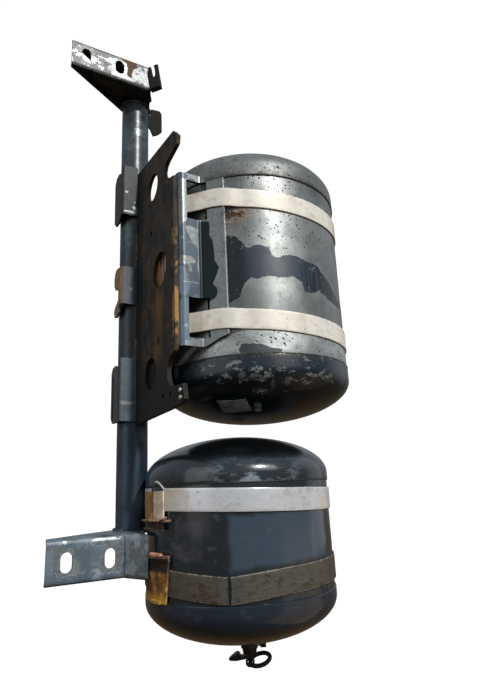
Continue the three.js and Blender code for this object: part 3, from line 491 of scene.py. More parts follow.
def lb_extra(m, col, mask):
    x, y, z = m.xyz()
    big = m.noise(34, 7, 0.7, 261)
    pale = m.mul(m.step(big, 0.56, 0.60), m.step(x, -0.040, 0.035))
    col = m.mix(m.mul(pale, 0.7), col, lin(168, 176, 178))
    w = m.mul(m.step(x, 0.036, 0.050), m.step(m.noise(46, 7, 0.7, 263), 0.44, 0.47))
    col = m.mix(m.mul(w, 0.55), col, lin(150, 154, 154))
    tp = m.mul(m.step(m.normal()[2], 0.5, 0.8), m.step(m.noise(60, 6, 0.7, 265), 0.42, 0.52))
    col = m.mix(m.mul(tp, 0.7), col, lin(92, 96, 94))
    # undersides and faces turned to the back painted dark: painted shade
    inner = m.mx(m.step(m.mul(m.normal()[2], -1), 0.5, 0.8), m.mul(m.step(m.normal()[1], 0.3, 0.7), 0.8))
    return m.mix(m.mul(inner, 0.9), col, lin(28, 34, 42)), mask


m_tube = worn_paint("tube_paint", (74, 86, 94), (46, 56, 62), (128, 136, 140), 0.60, 18, 0.68, 0.34, 2, 0.6, extra=tube_extra)
m_ub = worn_paint("bare_plate", (126, 130, 130), (96, 100, 102), (140, 144, 144), 0.50, 20, 0.74, 0.44, 5, 0.6, rusts=(("rust", 7),), rust_a=(112, 86, 58), rust_b=(74, 66, 56), extra=ub_extra)
m_lb = worn_paint("scraped_plate", (108, 126, 142), (82, 98, 112), (160, 170, 176), 0.53, 26, 0.70, 0.40, 9, 0.9, patches=(("bare", 12),), extra=lb_extra)
m_hook = worn_paint("hook_paint", (50, 59, 65), (34, 42, 47), (150, 156, 160), 0.68, 30, 0.74, 0.55, 12, 0.9, rust_a=(86, 62, 42), rust_b=(52, 40, 30), extra=flank((20, 17, 14), (44, 35, 26)))
# a lighter copy of the hook paint for the lower hook: painted light
m_hook_lit = worn_paint("hook_paint_lit_copy", (92, 106, 116), (70, 84, 94), (160, 166, 170), 0.64, 30, 0.74, 0.42, 13, 0.9, rust_a=(86, 62, 42), rust_b=(52, 40, 30), extra=flank((22, 19, 16), (48, 38, 28)))
m_hooky = worn_paint("hook_ochre", (66, 77, 88), (46, 55, 62), (150, 156, 160), 0.66, 30, 0.74, 0.48, 14, 0.9, rust_a=(150, 112, 46), rust_b=(92, 64, 30), extra=flank((120, 86, 34), (160, 122, 50)))
# near-black: the seat's own colour, and painted shade on the fork, the clip tab and the sheet behind the gusset hole
m_black_and_shade = worn_paint("black_lug_and_shade", (12, 11, 11), (7, 7, 7), (70, 68, 64), 0.76, 40, 0.70, 0.85, 16, 0.35, rust_a=(52, 38, 30), rust_b=(32, 24, 20))


def saddle_extra(m, col, mask):
    x, y, z = m.xyz()
    lt = m.patch("light", 7, 95, 31, 2.0)
    col = m.mix(m.mul(lt, 0.6), col, lin(112, 134, 152))
    dk = m.patch("green", 5, 110, 33, 0.7, 8)
    col = m.mix(dk, col, lin(22, 32, 34))
    # a pale line along the foot's end edge: painted highlight
    ee = m.patch("rim", 1.0, 120, 35, 0.5)
    col = m.mix(m.mul(ee, 0.75), col, lin(186, 188, 184))
    # the side towards the plate is rusted behind the hole
    web = m.mul(m.step(m.mul(m.normal()[0], -1), 0.6, 0.9), m.step(y, -0.132, -0.120))
    rc = m.mix(m.step(m.noise(50, 6, 0.7, 271, stretch=(1, 1, 0.2)), 0.50, 0.56), lin(20, 16, 12), lin(176, 128, 52))
    col = m.mix(web, col, rc)
    gold = m.mul(m.mul(m.step(m.mul(m.normal()[0], -1), 0.3, 0.7), m.step(m.noise(44, 6, 0.7, 273, stretch=(1, 1, 0.3)), 0.50, 0.55)), m.mul(m.mul(m.step(z, 0.46, 0.42), m.step(z, 0.30, 0.33)), m.step(y, -0.122, -0.112)))
    col = m.mix(m.mul(gold, 0.85), col, lin(150, 112, 62))
    # undersides painted near-black: painted shade
    under_shade = m.step(m.mul(m.normal()[2], -1), 0.6, 0.9)
    return m.mix(m.mul(under_shade, 0.9), col, lin(20, 22, 24)), mask


m_saddle = worn_paint("saddle_paint", (62, 82, 98), (48, 66, 82), (124, 130, 130), 0.72, 30, 0.76, 0.34, 21, 0.7, patches=(("bare", 7),), extra=saddle_extra)


def rusty_plate():
    m = Mat("rusty_plate")
    x, y, z = m.xyz()
    big, mid, fine, tiny = m.noise(14, 6, 0.65, 3), m.noise(46, 7, 0.68, 5), m.noise(180, 5, 0.65, 7), m.noise(640, 3, 0.6, 9)
    col = m.mix(m.step(mid, 0.38, 0.62), lin(26, 21, 15), lin(54, 42, 28))
    col = m.mix(m.mul(m.step(m.add(big, m.mul(m.sub(fine, 0.5), 0.3)), 0.50, 0.60), 0.7), col, lin(72, 55, 32))
    # ochre rust low in the middle and along the near edge, brightened where light fell on it: part rust, part painted
    # light
    oz = m.mul(m.step(z, 0.400, 0.365), m.step(z, 0.255, 0.290))
    oy = m.mul(m.step(y, -0.125, -0.105), m.step(y, -0.005, -0.030))
    och = m.mul(m.mul(oz, oy), m.step(m.noise(30, 7, 0.72, 15, stretch=(1, 1, 0.5)), 0.44, 0.58))
    col = m.mix(m.mul(och, 0.75), col, lin(116, 80, 28))
    ez = m.mul(m.step(z, 0.47, 0.44), m.step(z, 0.27, 0.30))
    eg = m.mul(m.mul(ez, m.step(y, -0.122, -0.131)), m.step(m.noise(44, 7, 0.72, 25, stretch=(1, 1, 0.5)), 0.50, 0.56))
    col = m.mix(m.mul(eg, 0.9), col, lin(176, 132, 66))
    # golden streaks in the upper part: part rust runs, part painted highlight
    streak = m.mul(m.step(m.noise(60, 6, 0.7, 17, stretch=(1, 1, 0.22)), 0.60, 0.66), m.step(z, 0.30, 0.50))
    col = m.mix(m.mul(streak, 0.55), col, lin(140, 106, 54))
    blk = m.mx(m.step(m.noise(34, 7, 0.7, 19), 0.53, 0.58), m.mul(m.step(z, 0.27, 0.235), m.step(mid, 0.34, 0.46)))
    col = m.mix(m.mul(blk, 0.9), col, lin(12, 11, 10))
    band = m.step(m.add(y, m.mul(m.sub(m.noise(40, 6, 0.65, 27), 0.5), 0.030)), -0.002, 0.010)
    col = m.mix(m.mul(band, 0.97), col, lin(10, 10, 11))
    lowband = m.mul(m.step(z, 0.290, 0.262), m.step(y, -0.10, -0.04))
    col = m.mix(m.mul(lowband, 0.85), col, lin(18, 18, 18))
    grey = m.mul(m.step(m.noise(26, 6, 0.7, 23), 0.62, 0.65), m.step(y, -0.02, -0.06))
    col = m.mix(m.mul(grey, 0.5), col, lin(60, 64, 66))
    e = m.mul(m.step(m.mul(m.edge(), m.add(0.3, fine)), 0.35, 0.65), m.sub(1.0, band))
    col = m.mix(m.mul(e, 0.55), col, lin(120, 98, 66))
    h = m.add(m.mul(fine, 0.7), m.mul(tiny, 0.5))
    return m.done(col, m.add(0.60, m.mul(fine, 0.3)), m.mul(e, 0.3), h, 0.8, 0.0006)


m_rust = rusty_plate()


def tank1_mat(kind):
    """Bare pitted steel with slate-blue paint left on it; kind is shell, top or bottom."""
    m = Mat("tank1_" + kind)
    x, y, z = m.xyz()
    big, mid, fine, tiny = m.noise(10, 5, 0.6, 41), m.noise(42, 6, 0.65, 43), m.noise(190, 5, 0.65, 45), m.noise(700, 3, 0.6, 47)
    bare = m.mix(m.step(big, 0.32, 0.66), lin(112, 116, 115), lin(146, 149, 148))
    bare = m.mix(m.mul(m.step(mid, 0.42, 0.66), 0.5), bare, lin(104, 108, 110))
    bare = m.mix(m.mul(m.step(fine, 0.5, 0.72), 0.4), bare, lin(82, 84, 84))
    streak = m.noise(120, 3, 0.6, 49, stretch=(1, 1, 0.05))
    bare = m.mul_col(m.mul(m.step(streak, 0.56, 0.72), 0.28), bare, lin(120, 118, 114))
    paint = m.mix(m.step(mid, 0.36, 0.66), lin(30, 43, 56), lin(42, 58, 74))
    paint = m.mix(m.mul(m.step(fine, 0.62, 0.8), 0.4), paint, lin(24, 34, 42))
    if kind == "shell":
        mask = m.patch("isle", 9, 80, 51, 0.7, 8)
        inner = m.step(m.add(m.attr("isle"), m.mul(m.sub(m.noise(60, 7, 0.65, 53), 0.5), 26)), 10, 16)
        mask = m.mul(mask, m.mx(m.sub(1.0, m.mul(m.step(m.noise(120, 6, 0.7, 55), 0.60, 0.63), m.sub(1.0, m.mul(inner, 0.85)))), 0.0))
        mask = m.mx(mask, m.mul(m.patch("lowp", 8, 90, 57, 0.7), 0.9))
        fr = m.mul(m.step(m.noise(46, 8, 0.7, 59), 0.66, 0.675), m.step(m.attr("isle"), -60, -8))
        mask = m.mx(mask, m.mul(fr, 0.7))
        dr = m.mul(m.mul(m.step(m.noise(170, 3, 0.5, 61, stretch=(1, 1, 0.03)), 0.53, 0.60), m.step(m.attr("isle"), 0, 5)), m.step(m.attr("ang"), 266, 274))
        paint = m.mix(dr, paint, lin(12, 18, 20))
        # the paint is darkened at both sides, turning away from the light: painted shade
        shaded_sides = m.mx(m.step(m.attr("ang"), 241, 233), m.mul(m.step(m.attr("ang"), 278, 286), 0.85))
        paint = m.mix(m.mul(shaded_sides, 0.85), paint, lin(11, 19, 22))
        low_ = m.step(z, 0.318, 0.300)
        bare = m.mix(m.mul(low_, 0.8), bare, m.mix(m.step(mid, 0.4, 0.6), lin(150, 156, 156), lin(188, 194, 194)))
        dens = m.mx(m.step(z, 0.40, 0.50), m.mul(m.step(z, 0.33, 0.28), 0.95))
    elif kind == "top":
        mask = m.mul(m.step(m.noise(22, 8, 0.68, 63), 0.62, 0.64), 0.85)
        dens = m.mx(0.75, 0.0)
    else:
        # paint nearly everywhere, scuffed to pale metal in a belt just below the seam
        belt = m.mul(m.step(z, 0.205, 0.236), m.step(m.attr("ang"), 200, 226))
        sc_ = m.add(m.noise(44, 9, 0.76, 65, stretch=(0.8, 0.8, 1.5)), m.mul(m.mul(belt, m.step(m.attr("ang"), 296, 276)), 0.085))
        mask = m.sub(1.0, m.step(sc_, 0.632, 0.655))
        # the paint darkens to near-black towards the bottom of the downward-facing dome: painted shade
        paint = m.mix(m.step(z, 0.258, 0.222), lin(30, 42, 52), m.mix(m.step(z, 0.175, 0.150), lin(7, 19, 29), lin(5, 6, 7)))
        paint = m.mix(m.mul(m.step(m.noise(22, 7, 0.7, 67, stretch=(0.6, 0.6, 1.4)), 0.52, 0.66), m.mul(m.step(z, 0.190, 0.225), 0.5)), paint, lin(34, 46, 58))
        lines = m.scratches(58, 0.675, 68)
        paint = m.mix(m.mul(m.mul(lines, m.step(z, 0.185, 0.215)), 0.45), paint, lin(110, 116, 118))
        dens = m.mx(0.3, 0.0)
    col = m.mix(mask, bare, paint)
    # pits: dark specks of one to three millimetres, thicker where the damp sat
    pit = None
    for sc, th, sd_ in ((105, 0.20, 71), (190, 0.26, 73), (60, 0.13, 75)):
        d, c = m.cells(sc, sd_)
        k = m.node("SeparateColor"); m.t.links.new(c, k.inputs[0])
        q = m.mul(m.step(d, th, th * 0.45), m.step(m.add(k.outputs[0], m.mul(dens, 0.72)), 0.95, 1.0))
        pit = q if pit is None else m.mx(pit, q)
    blot = m.mul(m.step(m.noise(74, 6, 0.75, 77), 0.62, 0.66), m.step(dens, 0.2, 0.9))
    pit = m.mx(pit, m.mul(blot, 0.85))
    pit = m.mul(pit, m.sub(1.0, m.mul(mask, 0.55)))
    col = m.mix(pit, col, m.mix(m.step(fine, 0.45, 0.6), lin(28, 25, 23), lin(58, 44, 34)))
    if kind == "shell":
        b = m.patch("burn", 12, 110, 79, 1.0, 8)
        hal = m.step(m.add(m.attr("burn"), m.mul(m.sub(mid, 0.5), 16)), -14, 2)
        col = m.mix(m.mul(hal, 0.42), col, lin(146, 124, 96))
        dots = m.noise(210, 5, 0.75, 70)
        b = m.mul(m.step(m.add(m.attr("burn"), m.mul(m.sub(dots, 0.5), 44)), 3, 6), m.step(m.attr("burn"), -7, -3))
        col = m.mix(b, col, m.mix(m.step(tiny, 0.45, 0.6), lin(30, 22, 16), lin(92, 62, 38)))
        col = m.mix(m.mul(m.mul(m.step(m.attr("burn"), -3, 2), m.step(dots, 0.40, 0.36)), 0.7), col, lin(206, 198, 182))
        pit = m.mx(pit, b)
    # rusty weep by the seams
    if kind != "top":
        seam = m.mul(m.step(m.math("ABSOLUTE", m.sub(z, 0.263)), 0.010, 0.001), m.step(mid, 0.42, 0.6))
    else:
        seam = m.mul(m.step(m.math("ABSOLUTE", m.sub(z, 0.545)), 0.010, 0.001), m.step(mid, 0.42, 0.6))
    col = m.mix(m.mul(seam, 0.6), col, lin(60, 52, 46))
    rg = m.mixf(mask, 0.42 if kind == "shell" else 0.52, 0.40 if kind == "shell" else 0.28)
    rg = m.mixf(pit, rg, 0.85)
    rg = m.add(rg, m.mul(m.sub(fine, 0.5), 0.18))
    mt = m.mul(m.mul(m.sub(1.0, mask), m.sub(1.0, pit)), 0.72 if kind == "shell" else 0.5)
    h = m.sub(m.add(m.mul(mask, 0.5), m.mul(fine, 0.25)), m.mul(pit, 1.2))
    return m.done(col, rg, mt, h, 0.6, 0.0005, coat=m.mul(mask, 0.12), spec=0.4)


def tank2_mat(kind):
    """Glossy dark slate paint, scuffed pale, tan low down and brown at the right edge as a painted reflection of brown
    ground.
    """
    m = Mat("tank2_" + kind)
    x, y, z = m.xyz()
    big, mid, fine, tiny = m.noise(9, 5, 0.6, 81), m.noise(36, 6, 0.65, 83), m.noise(170, 5, 0.65, 85), m.noise(640, 3, 0.6, 87)
    col = m.mix(m.step(big, 0.36, 0.66), lin(26, 33, 38), lin(42, 51, 58))
    if kind == "shell":
        # a lighter blue-grey panel on the shell: painted reflection
        reflection_panel = m.patch("reflection_panel", 16, 40, 88, 4.0)
        col = m.mix(m.mul(reflection_panel, 0.8), col, lin(62, 78, 94))
        pur = m.patch("purple", 12, 40, 89, 4.0)
        col = m.mix(m.mul(m.mul(pur, m.step(mid, 0.36, 0.62)), 0.6), col, lin(74, 74, 82))
    # fogged and brushed scuffs
    fog = m.step(m.noise(18, 7, 0.66, 91, stretch=(0.7, 0.7, 1.5)), 0.54, 0.74)
    col = m.mix(m.mul(fog, 0.18 if kind == "shell" else 0.30), col, lin(78, 86, 92))
    sc = m.step(m.noise(62, 9, 0.76, 93, stretch=(0.5, 0.5, 1.6)), 0.655, 0.70)
    if kind == "top": sc = m.mul(sc, m.step(z, 0.128, 0.112))
    if kind == "shell": sc = m.mul(sc, 0.10)
    if kind == "top":
        # a pale patch on the top dome: painted highlight
        dome_highlight = m.mul(m.mul(m.step(m.noise(26, 8, 0.72, 92, stretch=(0.6, 0.6, 1.3)), 0.46, 0.60), m.step(z, 0.128, 0.108)), m.mul(m.step(m.attr("ang"), 222, 238), m.step(m.attr("ang"), 286, 262)))
        col = m.mix(m.mul(dome_highlight, 0.8), col, lin(150, 162, 170))
        # the top of the dome painted near-black: painted reflection of the dark tank above
        col = m.mix(m.mul(m.step(z, 0.118, 0.134), 0.9), col, lin(8, 9, 10))
    col = m.mix(m.mul(sc, 0.6), col, lin(132, 140, 144))
    lines = m.scratches(60, 0.665, 95)
    col = m.mix(m.mul(lines, 0.12), col, lin(118, 124, 128))
    # brown at the right edge, tan and brown on the bottom dome: painted reflection of brown ground
    side = m.step(m.noise(16, 7, 0.7, 97), 0.56, 0.66)
    if kind == "bottom":
        low = m.mul(m.step(z, -0.080, -0.112), m.step(mid, 0.34, 0.55))
        col = m.mix(m.mul(m.step(z, -0.10, -0.075), 0.55), col, lin(26, 42, 58))
        col = m.mix(m.mul(low, 0.55), col, lin(120, 100, 72))
        col = m.mix(m.mul(side, 0.22), col, lin(72, 58, 44))
    else:
        right_edge_reflection = m.step(m.attr("ang"), 300, 322)
        col = m.mix(m.mul(m.mul(side, right_edge_reflection), 0.8), col, lin(84, 66, 48))
    spot = m.mul(m.step(m.noise(110, 6, 0.7, 99), 0.70, 0.72), 0.7)
    col = m.mix(spot, col, lin(70, 54, 42))
    grime = m.step(m.noise(60, 6, 0.65, 101), 0.58, 0.74)
    col = m.mul_col(m.mul(grime, 0.45), col, lin(110, 104, 98))
    rg = m.add(m.mixf(m.mx(m.mul(fog, 0.6), sc), 0.20, 0.46), m.mul(m.sub(fine, 0.5), 0.14))
    h = m.add(m.mul(fine, 0.22), m.mul(m.sub(1.0, m.mx(sc, lines)), 0.35))
    return m.done(col, rg, m.mul(sc, 0.4), h, 0.35, 0.0004, coat=m.mul(m.sub(1.0, sc), 0.5), coat_rough=0.12)


def strap_mat(name, a, b, stain, stain_amt=0.5, dark=(110, 108, 104), rough=0.34, rust=0.0, edge_c=(236, 236, 230), metal=0.55):
    """Rolled steel band: fine lengthwise lines, smears, stains at the ends. su runs along it in mm, sv across it from -1 to 1."""
    m = Mat(name)
    su, sv = m.attr("su"), m.attr("sv")
    comb = m.node("CombineXYZ"); m.put(comb.inputs[0], m.mul(su, 0.004)); m.put(comb.inputs[1], sv)
    lines = m.noise(14, 3, 0.6, co=comb.outputs[0])
    comb2 = m.node("CombineXYZ"); m.put(comb2.inputs[0], m.mul(su, 0.02)); m.put(comb2.inputs[1], m.mul(sv, 0.35)); comb2.inputs[2].default_value = 4.2
    smear = m.noise(4, 6, 0.68, co=comb2.outputs[0])
    mid, fine, tiny = m.noise(44, 6, 0.65, 103), m.noise(220, 4, 0.6, 105), m.noise(760, 2, 0.6, 107)
    col = m.mix(m.step(lines, 0.32, 0.68), lin(*b), lin(*a))
    col = m.mix(m.mul(m.step(smear, 0.50, 0.66), 0.55), col, lin(*dark))
    col = m.mix(m.mul(m.step(m.noise(30, 7, 0.7, 109), 0.60, 0.64), 0.35), col, lin(*[v * 0.75 for v in b]))
    st = m.mul(m.attr("stain"), m.step(m.noise(26, 6, 0.68, 111), 0.36, 0.62))
    col = m.mix(m.mul(st, stain_amt), col, lin(*stain))
    col = m.mix(m.mul(m.step(m.noise(150, 5, 0.7, 113), 0.66, 0.69), 0.7), col, lin(96, 76, 58))
    ed = m.step(m.math("ABSOLUTE", sv), 0.90, 0.98)
    col = m.mix(m.mul(m.mul(ed, m.step(fine, 0.35, 0.6)), 0.6), col, lin(*edge_c))
    if rust:
        r = m.step(m.noise(34, 8, 0.72, 115), 0.62 - rust * 0.2, 0.68 - rust * 0.2)
        col = m.mix(m.mul(r, 0.85), col, m.mix(m.step(fine, 0.4, 0.6), lin(50, 40, 30), lin(80, 64, 48)))
    rg = m.add(m.mixf(st, rough, 0.6), m.mul(m.sub(lines, 0.5), 0.22))
    h = m.add(m.mul(lines, 0.35), m.mul(fine, 0.25))
    return m.done(col, rg, m.mixf(st, metal, metal * 0.4), h, 0.25, 0.0003)


m_pale = strap_mat("pale_steel_band", (236, 233, 224), (222, 219, 209), (172, 150, 116), 0.8, (196, 192, 182), 0.46, metal=0.12)
m_pale2 = strap_mat("grey_steel_band", (226, 231, 238), (212, 217, 224), (206, 188, 156), 0.8, (176, 180, 184), 0.30, metal=0.45)
m_dull = strap_mat("dull_band", (100, 99, 93), (72, 70, 63), (70, 58, 42), 0.9, (48, 46, 42), 0.46, rust=0.30, edge_c=(170, 162, 146), metal=0.35)


def rusty_clip(name, a, b, pale, seed, kind):
    m = Mat(name)
    mid, fine, tiny = m.noise(50, 7, 0.68, seed), m.noise(200, 5, 0.65, seed + 2), m.noise(700, 3, 0.6, seed + 4)
    col = m.mix(m.step(mid, 0.40, 0.60), lin(*b), lin(*a))
    col = m.mix(m.mul(m.step(m.noise(70, 6, 0.7, seed + 6), 0.55, 0.62), 0.8), col, lin(206, 160, 84))
    col = m.mix(m.mul(m.step(m.noise(60, 7, 0.7, seed + 8), 0.60, 0.64), 0.9), col, lin(54, 34, 26))
    x, y, z = m.xyz()
    if kind == "hi":
        # right of a dark line the clip is bright like the band it holds
        on_ = m.mul(m.step(z, 0.046, 0.054), m.step(y, -0.0600, -0.0612))
        col = m.mix(on_, col, m.mix(m.step(mid, 0.4, 0.6), lin(196, 180, 150), lin(226, 214, 190)))
        ln_ = m.mul(m.step(z, 0.046, 0.054), m.step(m.math("ABSOLUTE", m.add(y, 0.0606)), 0.0012, 0.0006))
        col = m.mix(m.mul(ln_, 0.9), col, lin(20, 16, 12))
        low = m.step(z, 0.052, 0.044)                      # below the band it is dark and red
        col = m.mix(m.mul(low, 0.92), col, m.mix(m.step(mid, 0.45, 0.6), lin(24, 14, 12), lin(84, 34, 26)))
    else:
        top = m.step(z, -0.012, -0.002)
        col = m.mix(m.mul(top, 0.85), col, m.mix(m.step(mid, 0.4, 0.6), lin(60, 26, 20), lin(150, 98, 78)))
        # a black band under the top flange: painted shadow
        flange_shadow = m.mul(m.step(z, -0.022, -0.014), m.step(z, 0.001, -0.004))
        col = m.mix(m.mul(flange_shadow, 0.95), col, lin(12, 10, 9))
        yel = m.step(z, -0.040, -0.050)
        col = m.mix(m.mul(yel, 0.8), col, lin(196, 144, 40))
    e = m.step(m.mul(m.edge(0.001), m.add(0.4, fine)), 0.25, 0.5)
    col = m.mix(m.mul(e, 0.75), col, lin(*pale))
    return m.done(col, m.add(0.55, m.mul(fine, 0.3)), m.mul(e, 0.5), m.add(m.mul(fine, 0.7), m.mul(tiny, 0.5)), 0.7, 0.0005)


m_clip_hi = rusty_clip("clip_tan_rust", (172, 134, 72), (140, 102, 54), (206, 196, 172), 121, "hi")
m_clip_lo = rusty_clip("clip_orange_rust", (146, 98, 38), (84, 54, 28), (214, 202, 176), 131, "lo")


def plain(name, a, b, rough, metal, seed, scale=60, bump=0.4, speck=(40, 34, 30)):
    m = Mat(name)
    n1, n2, n3 = m.noise(scale, 6, 0.65, seed), m.noise(scale * 5, 4, 0.6, seed + 2), m.noise(scale * 1.7, 7, 0.7, seed + 4)
    col = m.mix(m.step(n1, 0.36, 0.64), lin(*a), lin(*b))
    col = m.mix(m.mul(m.step(n3, 0.60, 0.66), 0.6), col, lin(*speck))
    e = m.mul(m.edge(0.0008), 0.55)
    col = m.mix(m.mul(e, n2), col, lin(*[min(255, v * 1.5 + 30) for v in b]))
    return m.done(col, m.add(rough, m.mul(m.sub(n2, 0.5), 0.25)), metal, n2, bump, 0.0003)


m_weld = plain("weld_bead", (40, 44, 46), (74, 78, 78), 0.45, 0.5, 141, 90, 0.6, (72, 50, 36))
m_weldr = plain("weld_rust", (84, 60, 42), (128, 98, 66), 0.7, 0.2, 145, 90, 0.8, (46, 32, 24))
m_valve = plain("black_valve", (20, 20, 21), (42, 42, 43), 0.42, 0.2, 151, 90, 0.5, (70, 54, 42))
m_ring = plain("ring_steel", (40, 34, 32), (78, 66, 60), 0.45, 0.6, 155, 120, 0.5, (104, 70, 48))
m_hidden = plain("hidden_steel", (96, 98, 100), (134, 136, 138), 0.42, 0.7, 161, 60, 0.4, (84, 62, 46))
m_stud = plain("bright_stud", (188, 184, 172), (224, 220, 210), 0.34, 0.7, 165, 140, 0.4, (120, 96, 66))
m_flake = plain("flaked_rust", (150, 96, 72), (206, 160, 134), 0.8, 0.0, 191, 120, 0.8, (70, 34, 26))
m_clip_lip = plain("clip_lip", (120, 70, 46), (196, 180, 160), 0.5, 0.4, 195, 60, 0.5, (90, 40, 30))
m_plate = plain("blank_plate", (120, 138, 150), (176, 190, 198), 0.42, 0.3, 171, 70, 0.3, (150, 150, 148))
m_rubber = plain("valve_seal", (16, 16, 16), (30, 30, 30), 0.85, 0.0, 175, 120, 0.5, (36, 34, 32))
m_darkboss = plain("dark_boss", (34, 42, 50), (58, 68, 76), 0.38, 0.3, 181, 80, 0.4, (90, 74, 58))

# ------------------------------------------------------------------ tanks
T1 = dict(x=171.2, y=-115.6, r=150.0, st=460.0, tt=477.6, ht=65.4, sb=178.0, tb=159.0, hb=58.5)
T2 = dict(x=134.5, y=-104.9, r=138.0, st=8.0, tt=18.9, ht=58.5, sb=-139.0, tb=-149.9, hb=58.5)


def dome_prof(T, top):
    s = 1 if top else -1
    zs, zt, h = (T["st"], T["tt"], T["ht"]) if top else (T["sb"], T["tb"], T["hb"])
    ro = T["r"] + 1.6
    zs2 = zs + s * 0.15
    out = [(ro - 1.3, zs2), (ro - 0.5, zs2 + s * 0.15), (ro - 0.12, zs2 + s * 0.5), (ro, zs2 + s * 1.1)]
    k = max(2, int(abs(zt - zs2) / 3))
    out += [(ro, zs2 + s * 1.1 + (zt - zs2 - s * 1.1) * i / k) for i in range(1, k + 1)]
    n = 44
    out += [(ro * math.cos(math.pi / 2 * i / n), zt + s * h * math.sin(math.pi / 2 * i / n)) for i in range(1, n)] + [(0, zt + s * h)]
    ri, hi = ro - 3.5, h - 3.5
    inn = [(0, zt + s * hi)] + [(ri * math.cos(math.pi / 2 * i / 10), zt + s * hi * math.sin(math.pi / 2 * i / 10)) for i in range(9, -1, -1)] + [(ri, zs2)]
    return out + inn


def shell_prof(T):
    n = int((T["st"] - T["sb"]) / 3)
    z0, z1 = T["sb"] + 0.15, T["st"] - 0.15
    return [(T["r"], z0 + (z1 - z0) * i / n) for i in range(n + 1)] + [(T["r"] - 3, z1), (T["r"] - 3, z0)]


def bead_ring(name, cx, cy, R, z, r, mat, seed, ripple=0.35, pitch=4.0, squash=1.0):
    n = int(2 * math.pi * R / (pitch / 5)); L = []
    for i in range(n):
        a = 2 * math.pi * i / n; L.append((cx + R * math.cos(a), cy + R * math.sin(a), z + 0.3 * mn.noise(Vector((a * 4, seed, 1)))))
    L = np.array(L); v, f, seg = [], [], 6
    for i in range(n):
        a = 2 * math.pi * i / n; x = a * R
        rr = r * (1 + ripple * abs(math.sin(math.pi * x / pitch + 1.5 * mn.noise(Vector((x * 0.03, seed, 0))))) + 0.2 * mn.noise(Vector((x * 0.1, seed + 4, 0))) - ripple / 2)
        er = Vector((math.cos(a), math.sin(a), 0))
        for k in range(seg):
            q = 2 * math.pi * k / seg
            v.append(Vector(L[i]) + er * (math.cos(q) * rr * squash) + Vector((0, 0, math.sin(q) * rr)))
    for i in range(n):
        j = (i + 1) % n
        for k in range(seg):
            f.append((i * seg + k, i * seg + (k + 1) % seg, j * seg + (k + 1) % seg, j * seg + k))
    return piece(new_mesh(name, [P(p) for p in v], f, True), mat)


for tag, T, mk in (("tank1", T1, tank1_mat), ("tank2", T2, tank2_mat)):
    s_ = lathe(tag + "_shell_wall", shell_prof(T), T["x"], T["y"], 240, 0.35, 5.0)
    c = coords(s_)
    ang = np.degrees(np.arctan2(c[:, 1] - T["y"], c[:, 0] - T["x"])) % 360
    put_attr(s_, "ang", ang)
    arc = np.stack([np.radians(ang) * T["r"], c[:, 2]], 1)
    on = lambda poly: np.array([(math.radians(a) * T["r"], z) for a, z in poly])
    if tag == "tank1":
        put_attr(s_, "isle", sd(arc, on(ISLE))); put_attr(s_, "burn", sd(arc, on(BURN))); put_attr(s_, "lowp", sd(arc, on(LOWP)))
    else:
        put_attr(s_, "reflection_panel", sd(arc, on([(236, -34), (300, -30), (300, -92), (236, -98)])))
        put_attr(s_, "purple", sd(arc, on([(203, -36), (222, -40), (220, -90), (202, -84)])))
    piece(s_, mk("shell"), nodes=(tag + "_shell",))
    for top in (True, False):
        d_ = lathe(tag + ("_top_head" if top else "_bottom_head"), dome_prof(T, top), T["x"], T["y"], 240, 0.3, 4.0)
        c = coords(d_)
        put_attr(d_, "ang", np.degrees(np.arctan2(c[:, 1] - T["y"], c[:, 0] - T["x"])) % 360)
        piece(d_, mk("top" if top else "bottom"), nodes=(tag + ("_top_dome" if top else "_bottom_dome"),))
bead_ring("tank1_top_seam_weld", T1["x"], T1["y"], T1["r"] + 0.5, T1["st"] - 0.4, 1.3, m_weld, 3)
bead_ring("tank1_bottom_seam_weld", T1["x"], T1["y"], T1["r"] + 0.5, T1["sb"] + 0.4, 1.3, m_weld, 4)
bead_ring("tank2_top_seam_weld", T2["x"], T2["y"], T2["r"] + 0.4, T2["st"] - 0.3, 1.0, m_weld, 5, pitch=5)

# ------------------------------------------------------------------ straps
A1 = rad(220)
DN, TN = np.array([math.cos(A1), math.sin(A1)]), np.array([-math.sin(A1), math.cos(A1)])


def chaikin(pts, lo, hi, rounds=2):
    """Rounds every corner of an open line; lo and hi are not used."""
    for _ in range(rounds):
        out = [pts[0]]
        for a, b in zip(pts[:-1], pts[1:]):
            out += [0.75 * a + 0.25 * b, 0.25 * a + 0.75 * b]
        out.append(pts[-1]); pts = out
    return pts


